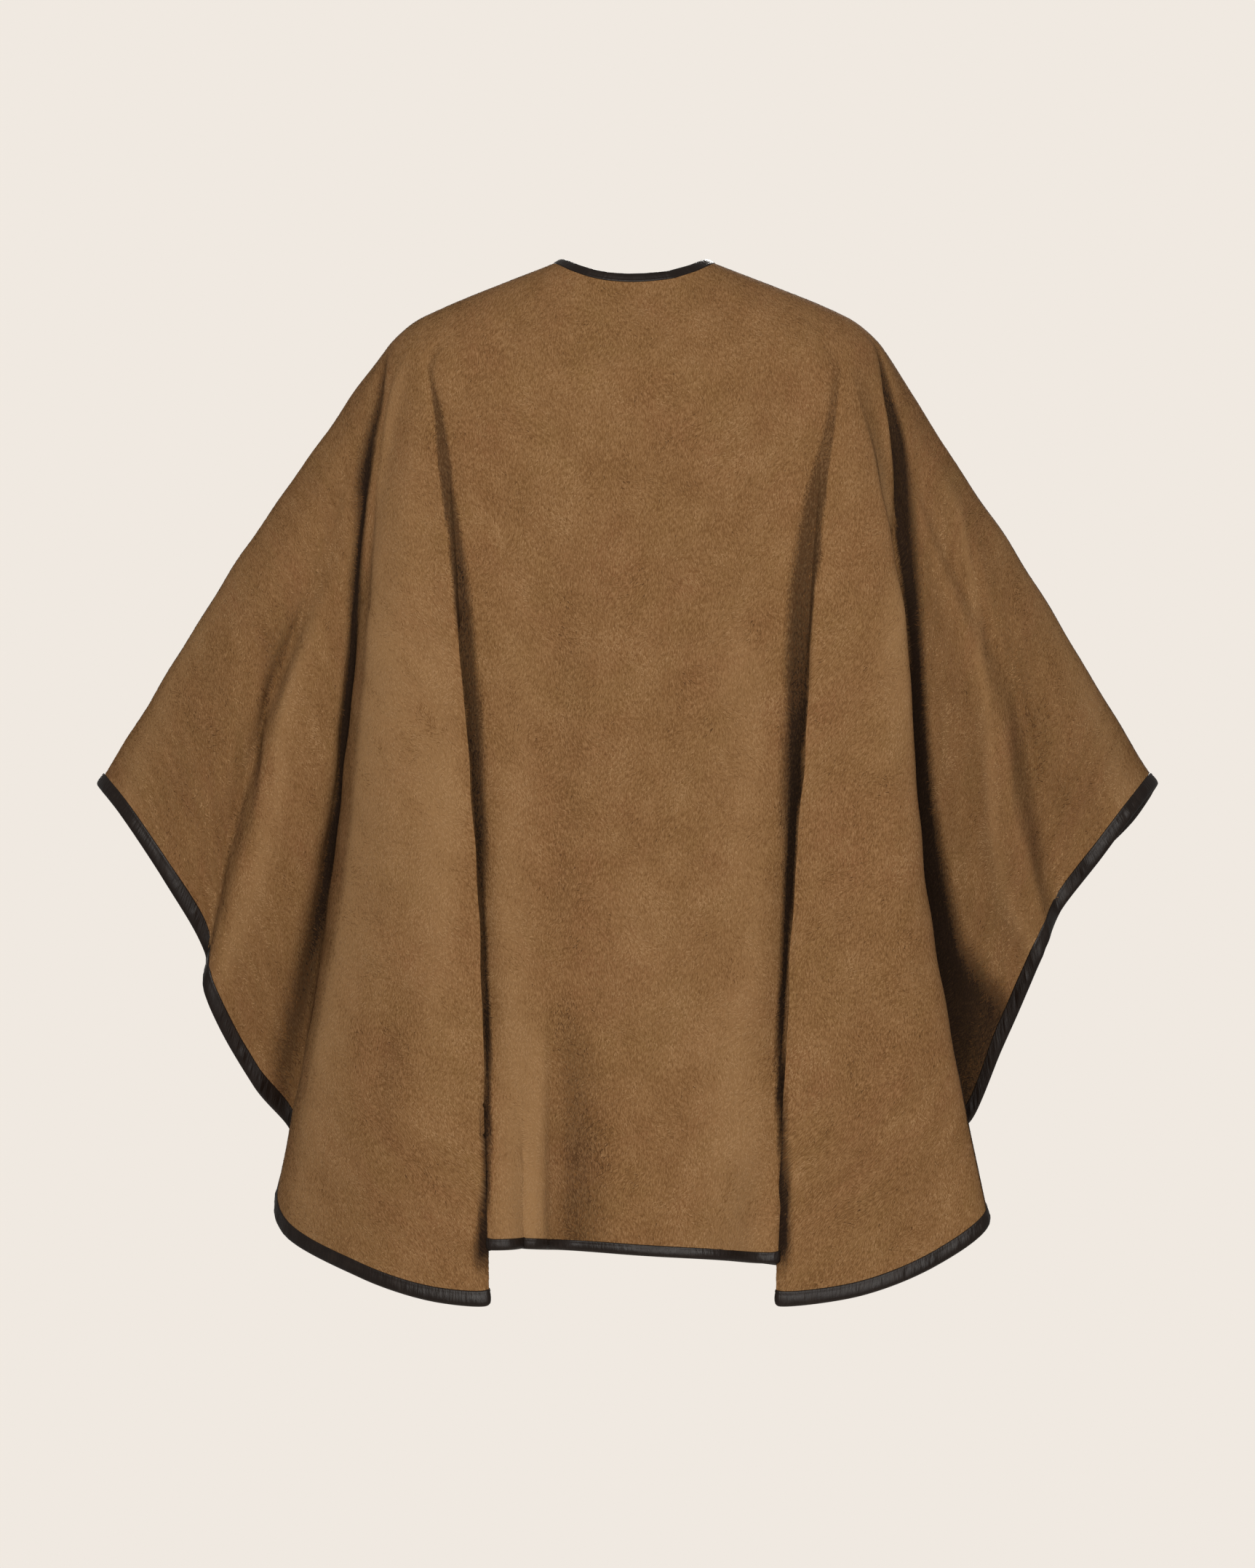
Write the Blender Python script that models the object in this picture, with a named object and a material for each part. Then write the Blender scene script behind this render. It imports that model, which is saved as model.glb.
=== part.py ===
"""Open-front wool cape with leather-bound edges, filled out as it hangs from two shoulders.

The cloth is one lofted sheet. Ribs run down it from the neck oval, over a ring round the
shoulders, to the hem: one rib for each ridge, valley or folded edge. A spline runs across
the ribs, and each sewn piece is a patch of that sheet, given its wall along the sheet's own
normals.

Frame: +Z up, the back of the cape towards -Y, the wearer's left arm towards -X. The origin
lies between the two sides of the neck, where the shoulders carry the cape.
"""
from typing import NamedTuple

import bmesh
import bpy
import numpy as np

MM = 0.001

# Driving dimensions, in millimetres.
CLOTH_WALL = 3.0            # napped double wool
LEATHER_WALL = 3.4          # a strip folded round the cloth's edge
SEAM_GAP = 0.3              # between two sewn pieces
HEM_SEAM_GAP = 0.7          # the same at the hem, where the facets twist most
HEM_BINDING = 12.0          # width of the strip along the hem and the front edges
NECK_BINDING = 9.5          # width of the strip round the neck
NECK_HALF_WIDTH = 67.0
NECK_BACK = 62.0            # from the shoulder plane to the nape
NECK_FRONT = 70.0
NAPE_DROP = 18.0            # the nape lies below the sides of the neck
THROAT_DROP = 75.0
RING_HALF_WIDTH = 234.0     # the ring runs round the shoulders at the top of the arms
RING_BACK = 118.0
RING_FRONT = 104.0
RING_ARM_DROP = 83.0
RING_BODY_DROP = 148.0
SHOULDER_LIFT = 10.5        # how far the shoulder bulges over the straight line
OVAL_POWER = 0.8            # below 1 rounds the neck and the ring towards a rectangle
ARM_RISE_POWER = 2.5        # how soon the ring drops from the arm to the body
FRONT_PARTING = 6.0         # from the middle to each front edge, at the neck
FACET = 36.0                # longest facet along the hem
FACET_ROWS = 18             # facets down a panel
SHARP_EDGE = np.radians(50.0)

# How far down a rib its stations lie, as shares of its length.
SHOULDER_AT = 0.112
RING_AT = 0.14
CHEST_SHARE = 0.30          # of the drop from the ring to the hem
WAIST_SHARE = 0.62
STATIONS = np.array([
    0.0,
    SHOULDER_AT,
    RING_AT,
    RING_AT + CHEST_SHARE * (1.0 - RING_AT),
    RING_AT + WAIST_SHARE * (1.0 - RING_AT),
    1.0,
])
SHOULDER_SHARE = 0.79       # of the way from the neck to the ring
DENSE_ROWS = 241            # rows at which the ribs are worked out before facets are chosen

# Folded edges.
LAP_OPENS = 8.0             # step between two layers, in millimetres, at which a lap begins
LAP_LEAD = 10.0             # the lap's last line stays this far before the next rib
LAP_REACH = 9.0             # spacing of a lap's lines where it is still unfolded
KICK_FROM = 0.74            # share of the length below which a lower layer turns under
NORMAL_STEP = 0.02          # part of a rib's spacing
HEM_ROWS = 3                # dense rows over which a column's direction at the hem is taken
STEEPEST_SINE = 0.45        # of the angle between a column and the hem
EASING = np.array([1.0, 2.0, 3.0, 2.0, 1.0]) / 9.0
STRIP_PLACE = 1.0           # the front edge's strip fills the first step between two ribs
SEAM_SHARE = 0.35           # how far in front of the arm line the shoulder seam runs


class Rib(NamedTuple):
    """One line down the cloth, in millimetres; depth is measured back from the shoulders."""

    name: str
    bearing: float          # degrees round the shoulders: 0 left arm, 90 spine, 180 right arm
    chest_x: float
    chest_depth: float
    waist_x: float
    waist_depth: float
    hem_x: float
    hem_depth: float
    hem_drop: float


class Lap(NamedTuple):
    """A folded edge, under which the cloth turns back before it goes on."""

    rib: str
    toward: int             # the lower layer goes on to the next rib (+1) or the one before (-1)
    width: float            # how far the cloth runs back under the edge
    full_gap: float         # step between the two layers at which the lap has its whole width
    kick: float             # how far the lower layer turns under itself at the hem


class LapLine(NamedTuple):
    """One of the lines that carry the cloth from a folded edge to the layer beneath."""

    name: str
    back: float             # shares of the lap's width, back under the edge
    past: float             # millimetres past the edge
    depth: float            # shares of the gap between the layers
    drop: float             # shares of the step in height between the layers
    turned_back: float      # the same where the lower layer has turned under itself
    turned_kick: float      # shares of the kick, past the edge
    turned_past: float      # millimetres past the edge
    turned_depth: float
    turned_layer: float     # millimetres behind that depth


#   name            bearing  chest        waist        hem
BACK_RIBS = (
    Rib("left_arm",      0.0, -327,   0,  -414,  -2,  -512,  -6, 501),
    Rib("left_under",    8.0, -300,  40,  -384,  44,  -488,  37, 527),
    Rib("left_wing",    14.0, -283,  54,  -353,  60,  -444,  55, 590),
    Rib("left_dip",     19.0, -279,  60,  -351,  52,  -405,  42, 664),
    Rib("left_swell",   23.0, -270,  67,  -343,  76,  -404,  66, 697),
    Rib("left_inner",   26.5, -262,  72,  -297,  66,  -360,  46, 785),
    Rib("left_valley",  30.0, -255,  76,  -286,  52,  -324,  30, 834),
    Rib("left_flank",   33.5, -242, 102,  -272, 110,  -332, 112, 909),
    Rib("left_flute",   37.0, -218, 124,  -230, 156,  -250, 196, 951),
    Rib("left_panel",   41.0, -186, 134,  -182, 176,  -180, 226, 970),
    Rib("left_edge",    45.0, -163, 138,  -143, 180,  -133, 232, 972),
    Rib("back_left",    61.0, -118, 118,  -108, 150,  -104, 190, 923),
    Rib("tail_swell",   71.0,  -89, 119,   -90, 150,   -92, 196, 924),
    Rib("tail_dip",     77.0,  -62, 120,   -66, 148,   -68, 184, 926),
    Rib("back_middle",  90.0,    0, 124,     2, 150,     5, 192, 931),
    Rib("back_right",  113.0,   87, 120,    88, 150,    84, 192, 935),
    Rib("right_edge",  135.0,  165, 138,   145, 178,   129, 226, 973),
    Rib("right_panel", 139.0,  200, 136,   206, 178,   204, 222, 965),
    Rib("right_flute", 142.5,  232, 128,   252, 170,   277, 206, 938),
    Rib("right_flank", 146.0,  250, 114,   269, 150,   323, 182, 906),
    Rib("right_inner", 152.0,  264,  62,   289,  48,   315,  36, 822),
    Rib("right_slope", 155.0,  270,  63,   312,  60,   348,  52, 748),
    Rib("right_swell", 158.0,  275,  63,   341,  74,   388,  66, 652),
    Rib("right_dip",   161.5,  280,  56,   360,  48,   402,  42, 622),
    Rib("right_wing",  166.0,  285,  52,   371,  52,   440,  48, 571),
    Rib("right_under", 172.0,  296,  40,   378,  43,   474,  36, 527),
    Rib("right_arm",   180.0,  318,   0,   402,  -2,   499,  -6, 501),
)

LAPS = (
    Lap("left_edge",   +1, 48.0, 30.0, 14.0),
    Lap("right_edge",  -1, 48.0, 30.0, 40.0),
    Lap("right_flank", +1, 36.0, 70.0,  0.0),
)

#             folded:  back  past  depth  drop   turned under:  back  kick  past  depth  layer
LAP_LINES = (
    LapLine("return",  0.50,  0.0,  0.50, 0.30,                 0.50,  0.0,  0.0,  0.50,   5.0),
    LapLine("turn",    1.00,  0.0,  0.95, 0.60,                 0.95,  0.0,  0.0,  1.00,  10.0),
    LapLine("kick",    0.55,  0.0,  1.05, 1.00,                 0.00,  1.0,  7.0,  1.00,  18.0),
    LapLine("heel",    0.15,  0.0,  1.05, 1.00,                 0.00,  0.0,  7.5,  0.60,   5.0),
    LapLine("under",   0.00,  8.0,  1.02, 1.00,                 0.00,  0.0, 16.0,  0.62,   0.0),
)

# The two fronts mirror each other. These are the right one's, from the middle to the arm.
#   name     bearing   chest        waist        hem
FRONT_RIBS = (
    Rib("edge",   269.3,   9, -110,    11, -124,    14, -140, 915),
    Rib("panel",  255.0,  70, -116,    75, -138,    85, -164, 912),
    Rib("trough", 240.0, 140, -106,   150, -118,   165, -126, 905),
    Rib("flute",  224.0, 205, -106,   232, -136,   282, -170, 880),
    Rib("flank",  212.0, 245,  -84,   282,  -88,   334,  -92, 795),
    Rib("dip",    204.0, 266,  -58,   318,  -46,   368,  -38, 690),
    Rib("wing",   196.0, 281,  -52,   348,  -58,   420,  -50, 600),
    Rib("under",  188.0, 298,  -38,   380,  -44,   482,  -38, 533),
)


class Finish(NamedTuple):
    """Colour, roughness and metallic value of a material."""

    color: tuple
    roughness: float
    metallic: float


WOOL = Finish((0.235, 0.118, 0.048, 1.0), 0.95, 0.0)
LEATHER = Finish((0.022, 0.013, 0.010, 1.0), 0.42, 0.0)


def spline(points, knots, where, taut=False):
    """Read a smooth curve through points at places counted in points along it.

    The first axis of points is the one along the curve. Knots space the points, and may
    differ for each of the curves that run side by side on the middle axis. A taut curve
    turns towards the longer of the two steps at a point, and any other to the shorter.
    """
    knots = knots.reshape(knots.shape + (1,) * (points.ndim - knots.ndim))
    step = np.diff(knots, axis=0)
    slope = np.diff(points, axis=0) / step
    before, after = (step[:-1], step[1:]) if taut else (step[1:], step[:-1])
    inner = (slope[:-1] * before + slope[1:] * after) / (before + after)
    tangent = np.concatenate([slope[:1], inner, slope[-1:]])
    index = np.clip(np.floor(where).astype(int), 0, len(points) - 2)
    part = (where - index).reshape((-1,) + (1,) * (points.ndim - 1))
    span = step[index]
    return (
        points[index] * (1 + 2 * part) * (1 - part) ** 2
        + tangent[index] * span * part * (1 - part) ** 2
        + points[index + 1] * (3 - 2 * part) * part**2
        - tangent[index + 1] * span * part**2 * (1 - part)
    )


def smooth(value):
    """Ease from 0 to 1."""
    value = np.clip(value, 0.0, 1.0)
    return value * value * (3.0 - 2.0 * value)


def unit(vectors):
    """Vectors of length one."""
    return vectors / np.linalg.norm(vectors, axis=-1, keepdims=True)


def oval(bearing, half_width, back, front):
    """Plan position on a rounded oval; bearings up to 180 lie behind the shoulders."""
    across, along = np.cos(np.radians(bearing)), np.sin(np.radians(bearing))
    depth = back if along > 0 else front
    return (
        -half_width * np.sign(across) * abs(across) ** OVAL_POWER,
        -depth * np.sign(along) * abs(along) ** OVAL_POWER,
    )


def neck_point(bearing):
    """Outer edge of the neck binding at a bearing."""
    x, y = oval(bearing, NECK_HALF_WIDTH, NECK_BACK, NECK_FRONT)
    if bearing > 180.0:
        drop = THROAT_DROP
        x = max(x, FRONT_PARTING)
    else:
        drop = NAPE_DROP
    return np.array([x, y, -drop * np.sin(np.radians(bearing)) ** 2])


def ring_point(bearing):
    """Where the cloth leaves the shoulders at a bearing."""
    x, y = oval(bearing, RING_HALF_WIDTH, RING_BACK, RING_FRONT)
    rise = abs(np.cos(np.radians(bearing))) ** ARM_RISE_POWER
    return np.array([x, y, -RING_BODY_DROP + (RING_BODY_DROP - RING_ARM_DROP) * rise])


def shoulder_point(neck, ring):
    """A point between the neck and the ring, bulging away from the straight line."""
    chord = unit(ring - neck)
    outward = unit(ring * (1.0, 1.0, 0.0))
    bulge = unit(outward - chord * outward.dot(chord))
    return neck + (ring - neck) * SHOULDER_SHARE + bulge * SHOULDER_LIFT


def rib_curve(rib):
    """Points down one rib, from the neck to the hem."""
    neck, ring = neck_point(rib.bearing), ring_point(rib.bearing)
    fall = rib.hem_drop + ring[2]
    stations = np.array([
        neck,
        shoulder_point(neck, ring),
        ring,
        (rib.chest_x, -rib.chest_depth, ring[2] - CHEST_SHARE * fall),
        (rib.waist_x, -rib.waist_depth, ring[2] - WAIST_SHARE * fall),
        (rib.hem_x, -rib.hem_depth, -rib.hem_drop),
    ])
    down = np.linspace(0.0, 1.0, DENSE_ROWS)
    place = np.interp(down, STATIONS, range(len(STATIONS)))
    return spline(stations, STATIONS, place, taut=True)


def lap_curves(edge, beyond, lap):
    """The lines that carry the cloth from a folded edge to the layer beneath it.

    Near the shoulders they lie side by side on the flat cloth, and they fold as the lower
    layer falls away behind the edge. Where the lap has a kick, the lower layer turns under
    itself towards the hem, so that two folded edges meet there.
    """
    reach = beyond - edge
    length = np.linalg.norm(reach, axis=1, keepdims=True)
    flat_step = reach / length * np.minimum(length / (len(LAP_LINES) + 1.0), LAP_REACH)
    toward = np.sign(reach[:, 0].mean())
    last = LAP_LINES[-1]
    shift = np.minimum(toward * reach[:, 0] - LAP_LEAD - last.past, 0.0)
    gap = beyond[:, 1] - edge[:, 1]
    folded = smooth((gap - LAP_OPENS) / (lap.full_gap - LAP_OPENS))
    down = np.linspace(0.0, 1.0, DENSE_ROWS)
    turned = smooth((down - KICK_FROM) / (1.0 - KICK_FROM)) * (lap.kick > 0.0)
    curves = []
    for count, line in enumerate(LAP_LINES, start=1):
        past = line.past - line.back * lap.width * folded
        past = past + shift * (count - 1) / (len(LAP_LINES) - 1)
        turned_past = line.turned_past + line.turned_kick * lap.kick
        turned_past = turned_past - line.turned_back * lap.width
        depth = line.depth * gap
        turned_depth = line.turned_depth * gap + line.turned_layer
        offset = np.stack([
            toward * (past + (turned_past - past) * turned),
            depth + (turned_depth - depth) * turned,
            reach[:, 2] * line.drop,
        ], axis=1)
        share = folded[:, None]
        curves.append(edge + flat_step * count * (1.0 - share) + offset * share)
    return curves


def sheet_ribs():
    """Every line of the sheet in order, from the left front edge round the back to the right."""
    mirror = np.array([-1.0, 1.0, 1.0])
    fronts = [rib_curve(rib) for rib in FRONT_RIBS]
    back = [rib_curve(rib) for rib in BACK_RIBS]
    laps = {lap.rib: lap for lap in LAPS}
    fronts.insert(1, fronts[0] + unit(fronts[1] - fronts[0]) * HEM_BINDING)
    curves = [curve * mirror for curve in fronts]
    marks = {"left_arm": len(curves)}
    for index, rib in enumerate(BACK_RIBS):
        lap = laps.get(rib.name)
        hidden = lap_curves(back[index], back[index + lap.toward], lap) if lap else []
        if lap and lap.toward < 0:
            curves += hidden[::-1]
            hidden = []
        curves.append(back[index])
        curves += hidden
    marks["right_arm"] = len(curves) - 1
    curves += fronts[::-1]
    return np.array(curves), marks


class Sheet:
    """The whole cloth as one surface, read by place: ribs across, dense rows down."""

    def __init__(self):
        self.ribs, marks = sheet_ribs()
        left_seam = marks["left_arm"] - SEAM_SHARE
        right_seam = marks["right_arm"] + SEAM_SHARE
        last = len(self.ribs) - 1.0
        self.spans = {
            "left": (STRIP_PLACE, left_seam),
            "back": (left_seam, right_seam),
            "right": (right_seam, last - STRIP_PLACE),
        }
        self.front_strips = {"left": (0.0, STRIP_PLACE), "right": (last - STRIP_PLACE, last)}
        chord = np.linalg.norm(np.diff(self.ribs, axis=0), axis=2)
        self.knots = np.concatenate([0.0 * chord[:1], np.cumsum(np.sqrt(chord), axis=0)])
        self.hem_chord = chord[:, -1]

    def columns(self, places):
        """Dense points and outward normals down the sheet; axes are row, place, xyz."""
        places = np.asarray(places, dtype=float)
        points = self.read(places)
        across = self.read(places + NORMAL_STEP) - self.read(places - NORMAL_STEP)
        down = np.gradient(points, axis=0)
        return points, unit(np.cross(down, across))

    def read(self, places):
        """Dense points down the sheet at each place across."""
        return spline(self.ribs, self.knots, places).transpose(1, 0, 2)

    def places(self, start, end, facet):
        """Places across the sheet from start to end, with no facet longer than given."""
        found = [start]
        for rib in range(int(np.floor(start)), int(np.ceil(end))):
            first, last = max(start, rib), min(end, rib + 1)
            length = self.hem_chord[rib] * (last - first)
            count = max(1 if length < facet / 3 else 2, int(np.ceil(length / facet)))
            found += list(np.linspace(first, last, count + 1)[1:])
        return np.array(found)


class Bands(NamedTuple):
    """Grids of points and normals: the strips of a set of columns, and the cloth between."""

    neck: tuple
    cloth: tuple
    hem: tuple
    whole: tuple            # from the neck strip to the very end, as a front edge needs it


def hem_slant(points):
    """Length along each column for every millimetre of distance from the hem."""
    down = unit(points[-1] - points[-1 - HEM_ROWS])
    along = unit(np.gradient(points[-1], axis=0))
    slant = 1.0 / np.maximum(np.linalg.norm(np.cross(down, along), axis=1), STEEPEST_SINE)
    return np.convolve(np.pad(slant, 2, mode="edge"), EASING, mode="valid")


def stretch(points, normals, start, end, rows):
    """A grid spaced evenly down each column, from start to end in millimetres from its top."""
    steps = np.linalg.norm(np.diff(points, axis=0), axis=2)
    length = np.concatenate([0.0 * steps[:1], np.cumsum(steps, axis=0)])
    grid = np.zeros((2, rows + 1) + points.shape[1:])
    for column in range(points.shape[1]):
        reads = np.linspace(start[column], end[column], rows + 1)
        for layer, source in enumerate((points, normals)):
            for axis in range(3):
                values = source[:, column, axis]
                grid[layer, :, column, axis] = np.interp(reads, length[:, column], values)
    return grid[0], unit(grid[1])


def bands(sheet, places):
    """Divide the columns at some places into strips and cloth."""
    points, normals = sheet.columns(places)
    length = np.linalg.norm(np.diff(points, axis=0), axis=2).sum(axis=0)
    neck = np.full(len(places), NECK_BINDING)
    slant = hem_slant(points)
    hem = length - HEM_BINDING * slant
    below = neck + SEAM_GAP
    return Bands(
        neck=stretch(points, normals, 0.0 * neck, neck, 1),
        cloth=stretch(points, normals, below, hem - HEM_SEAM_GAP * slant, FACET_ROWS),
        hem=stretch(points, normals, hem, length, 1),
        whole=stretch(points, normals, below, length, FACET_ROWS),
    )


def draw_in(grid, side):
    """Move a grid's first (0) or last (-1) column in by the gap at a seam."""
    points = grid[0]
    neighbour = 1 if side == 0 else -2
    points[:, side] += unit(points[:, neighbour] - points[:, side]) * SEAM_GAP


def make_material(name, finish):
    """A Principled BSDF material."""
    material = bpy.data.materials.new(name)
    material.use_nodes = True
    shader = material.node_tree.nodes["Principled BSDF"]
    shader.inputs["Base Color"].default_value = finish.color
    shader.inputs["Roughness"].default_value = finish.roughness
    shader.inputs["Metallic"].default_value = finish.metallic
    material.diffuse_color = finish.color
    return material


def make_piece(collection, name, grid, wall, material):
    """A sewn piece: a wall of even thickness about a grid of the sheet's points.

    The wall follows the sheet's own normals, so that two pieces that meet at a seam have
    parallel edges. Both split each quad of the edge along the same diagonal.
    """
    points, normals = grid
    rows, columns = points.shape[:2]
    layers = np.stack([points + normals * wall / 2.0, points - normals * wall / 2.0])
    bm = bmesh.new()
    outer, inner = (
        [[bm.verts.new(point) for point in row] for row in layer * MM] for layer in layers
    )
    for row in range(rows - 1):
        for column in range(columns - 1):
            corners = [(row, column), (row + 1, column), (row + 1, column + 1), (row, column + 1)]
            bm.faces.new([outer[down][across] for down, across in corners])
            bm.faces.new([inner[down][across] for down, across in reversed(corners)])
    border = [(0, column) for column in range(columns)]
    border += [(row, columns - 1) for row in range(1, rows)]
    border += [(rows - 1, column) for column in range(columns - 2, -1, -1)]
    border += [(row, 0) for row in range(rows - 2, 0, -1)]
    for here, there in zip(border, border[1:] + border[:1]):
        outer_here, outer_there = outer[here[0]][here[1]], outer[there[0]][there[1]]
        inner_here, inner_there = inner[here[0]][here[1]], inner[there[0]][there[1]]
        first_split, second_split = (
            (inner_there, outer_here) if here < there else (inner_here, outer_there)
        )
        bm.faces.new([outer_here, outer_there, first_split])
        bm.faces.new([second_split, inner_there, inner_here])
    mesh = bpy.data.meshes.new(name)
    bm.to_mesh(mesh)
    bm.free()
    mesh.shade_smooth()
    mesh.set_sharp_from_angle(angle=SHARP_EDGE)
    mesh.materials.append(material)
    collection.objects.link(bpy.data.objects.new(name, mesh))


def build_pieces(collection, sheet, wool, leather):
    """The three cloth panels and the strips along their edges."""
    places = {side: sheet.places(*span, FACET) for side, span in sheet.spans.items()}
    for side, across in places.items():
        cut = bands(sheet, across)
        if side != "back":
            for seam in (0, -1):
                draw_in(cut.cloth, seam)
                draw_in(cut.hem, seam)
        panel = "back_panel" if side == "back" else f"front_panel_{side}"
        make_piece(collection, panel, cut.cloth, CLOTH_WALL, wool)
        make_piece(collection, f"hem_binding_{side}", cut.hem, LEATHER_WALL, leather)
    ends = sheet.front_strips
    for side, span in ends.items():
        make_piece(
            collection, f"front_binding_{side}", bands(sheet, span).whole, LEATHER_WALL, leather
        )
    round_neck = np.concatenate([
        ends["left"][:1], places["left"], places["back"][1:-1], places["right"], ends["right"][1:],
    ])
    make_piece(collection, "neck_binding", bands(sheet, round_neck).neck, LEATHER_WALL, leather)


def clear_scene():
    """Remove every object."""
    for item in list(bpy.data.objects):
        bpy.data.objects.remove(item, do_unlink=True)


def main():
    """Build the cape in a collection of its own."""
    clear_scene()
    collection = bpy.data.collections.new("wool_cape")
    bpy.context.scene.collection.children.link(collection)
    wool, leather = make_material("wool", WOOL), make_material("leather", LEATHER)
    build_pieces(collection, Sheet(), wool, leather)


if __name__ == "__main__":
    main()
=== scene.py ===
"""The looks of an open-front wool cape with leather-bound edges, hanging from two shoulders.

The cloth is one lofted sheet. Ribs run down it from the neck to the hem, one for each ridge,
valley or folded edge, and a spline runs across them. Every piece is read from that sheet:
the three cloth panels, their brushed nap, the leather strips folded round their edges and
the stitches that hold the strips.

Sizes in the tables are millimetres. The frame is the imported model's: +Z up, the back of the
cape towards -Y, the wearer's left arm towards -X, the origin between the sides of the neck.
"""

import logging
import math
from dataclasses import dataclass, field
from enum import Enum
from typing import Any, Iterable, Sequence

import bpy
import numpy as np
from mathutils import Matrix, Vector

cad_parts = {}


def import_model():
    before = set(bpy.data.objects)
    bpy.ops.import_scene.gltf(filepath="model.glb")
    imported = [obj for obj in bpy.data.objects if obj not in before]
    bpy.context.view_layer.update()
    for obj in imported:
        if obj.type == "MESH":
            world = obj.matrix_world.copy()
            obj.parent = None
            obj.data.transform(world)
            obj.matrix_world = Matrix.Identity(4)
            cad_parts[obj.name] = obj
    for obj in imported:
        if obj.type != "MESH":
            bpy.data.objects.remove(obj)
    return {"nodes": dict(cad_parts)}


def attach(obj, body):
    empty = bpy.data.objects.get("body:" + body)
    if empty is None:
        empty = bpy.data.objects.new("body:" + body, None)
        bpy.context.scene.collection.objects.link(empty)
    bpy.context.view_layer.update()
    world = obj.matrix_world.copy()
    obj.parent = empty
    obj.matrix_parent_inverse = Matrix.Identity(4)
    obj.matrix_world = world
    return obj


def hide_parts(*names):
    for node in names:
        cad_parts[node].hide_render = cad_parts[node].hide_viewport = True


MM = 0.001
BODY = "root"
FORWARD = np.array([0.0, 1.0, 0.0])  # towards the front of the wearer
WAVE_COUNT = 10  # in one uneven swell
PLAIN_SHADE = 0.5  # the stored shade of cloth that is neither dark nor light
GOLDEN_ANGLE = 2.399963  # radians; it keeps the waves from lining up
WAVE_DRIFT = 0.37  # how far one swell's waves shift against another's
SMOOTH_ANGLE = math.radians(60.0)  # faces that meet in a sharper corner keep their edge
MERGE_DISTANCE = 0.00001

log = logging.getLogger("wool_cape")


# ---- the sheet

class Side(Enum):
    """The three panels that are sewn together."""

    LEFT = "left"
    BACK = "back"
    RIGHT = "right"


@dataclass(frozen=True)
class Rib:
    """One line down the cloth, in millimetres; depth is measured back from the shoulders."""

    name: str
    bearing: float  # degrees round the shoulders: 0 left arm, 90 spine, 180 right arm
    chest_x: float
    chest_depth: float
    waist_x: float
    waist_depth: float
    hem_x: float
    hem_depth: float
    hem_drop: float


@dataclass(frozen=True)
class LapLine:
    """One of the lines that carry the cloth from a folded edge to the layer beneath."""

    name: str
    back: float  # shares of the lap's width, back under the edge
    past: float  # millimetres past the edge
    depth: float  # shares of the gap between the layers
    drop: float  # shares of the step in height between the layers
    turned_back: float  # the same where the lower layer has turned under itself
    turned_kick: float  # shares of the kick, past the edge
    turned_past: float  # millimetres past the edge
    turned_depth: float
    turned_layer: float  # millimetres behind that depth


@dataclass(frozen=True)
class Stop:
    """A point on a crease, with its strength there and its width to both sides of it."""

    share: float  # of the length from the neck
    rib: str
    past: float  # ribs past that one
    strength: float
    before: float  # millimetres, towards the left arm
    after: float


@dataclass(frozen=True)
class Crease:
    """A soft ridge or trough down the cloth, with painted shade in it or a painted highlight on it."""

    name: str
    lift: float  # outwards, or inwards where negative
    shade: float  # painted shade: 1 is as dark as the nap goes, and below 0 is a painted highlight
    rows: tuple[tuple, ...]  # its Stops


@dataclass(frozen=True)
class LapStop:
    """How the cloth lies beside a folded edge at one height, and the shadow painted beside it."""

    share: float  # of the length from the neck
    sink: float  # how much deeper the lower layer lies beside the edge
    span: float  # how far past the edge it does
    start: float  # how far past the edge's rib the band of painted shadow starts
    reach: float  # and how far past it the band ends
    shade: float  # how dark the painted shadow is
    tuck: float = 2.0  # how far back from the edge the upper layer carries painted shadow
    tuck_shade: float = 0.0


@dataclass(frozen=True)
class Lap:
    """A folded edge, under which the cloth turns back before it goes on."""

    rib: str
    toward: int  # the lower layer goes on to the next rib (+1) or the one before (-1)
    width: float  # how far the cloth runs back under the edge
    full_gap: float  # step between the two layers at which the lap has its whole width
    kick: float  # how far the lower layer turns under itself at the hem
    rows: tuple[tuple, ...]  # its LapStops


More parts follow.
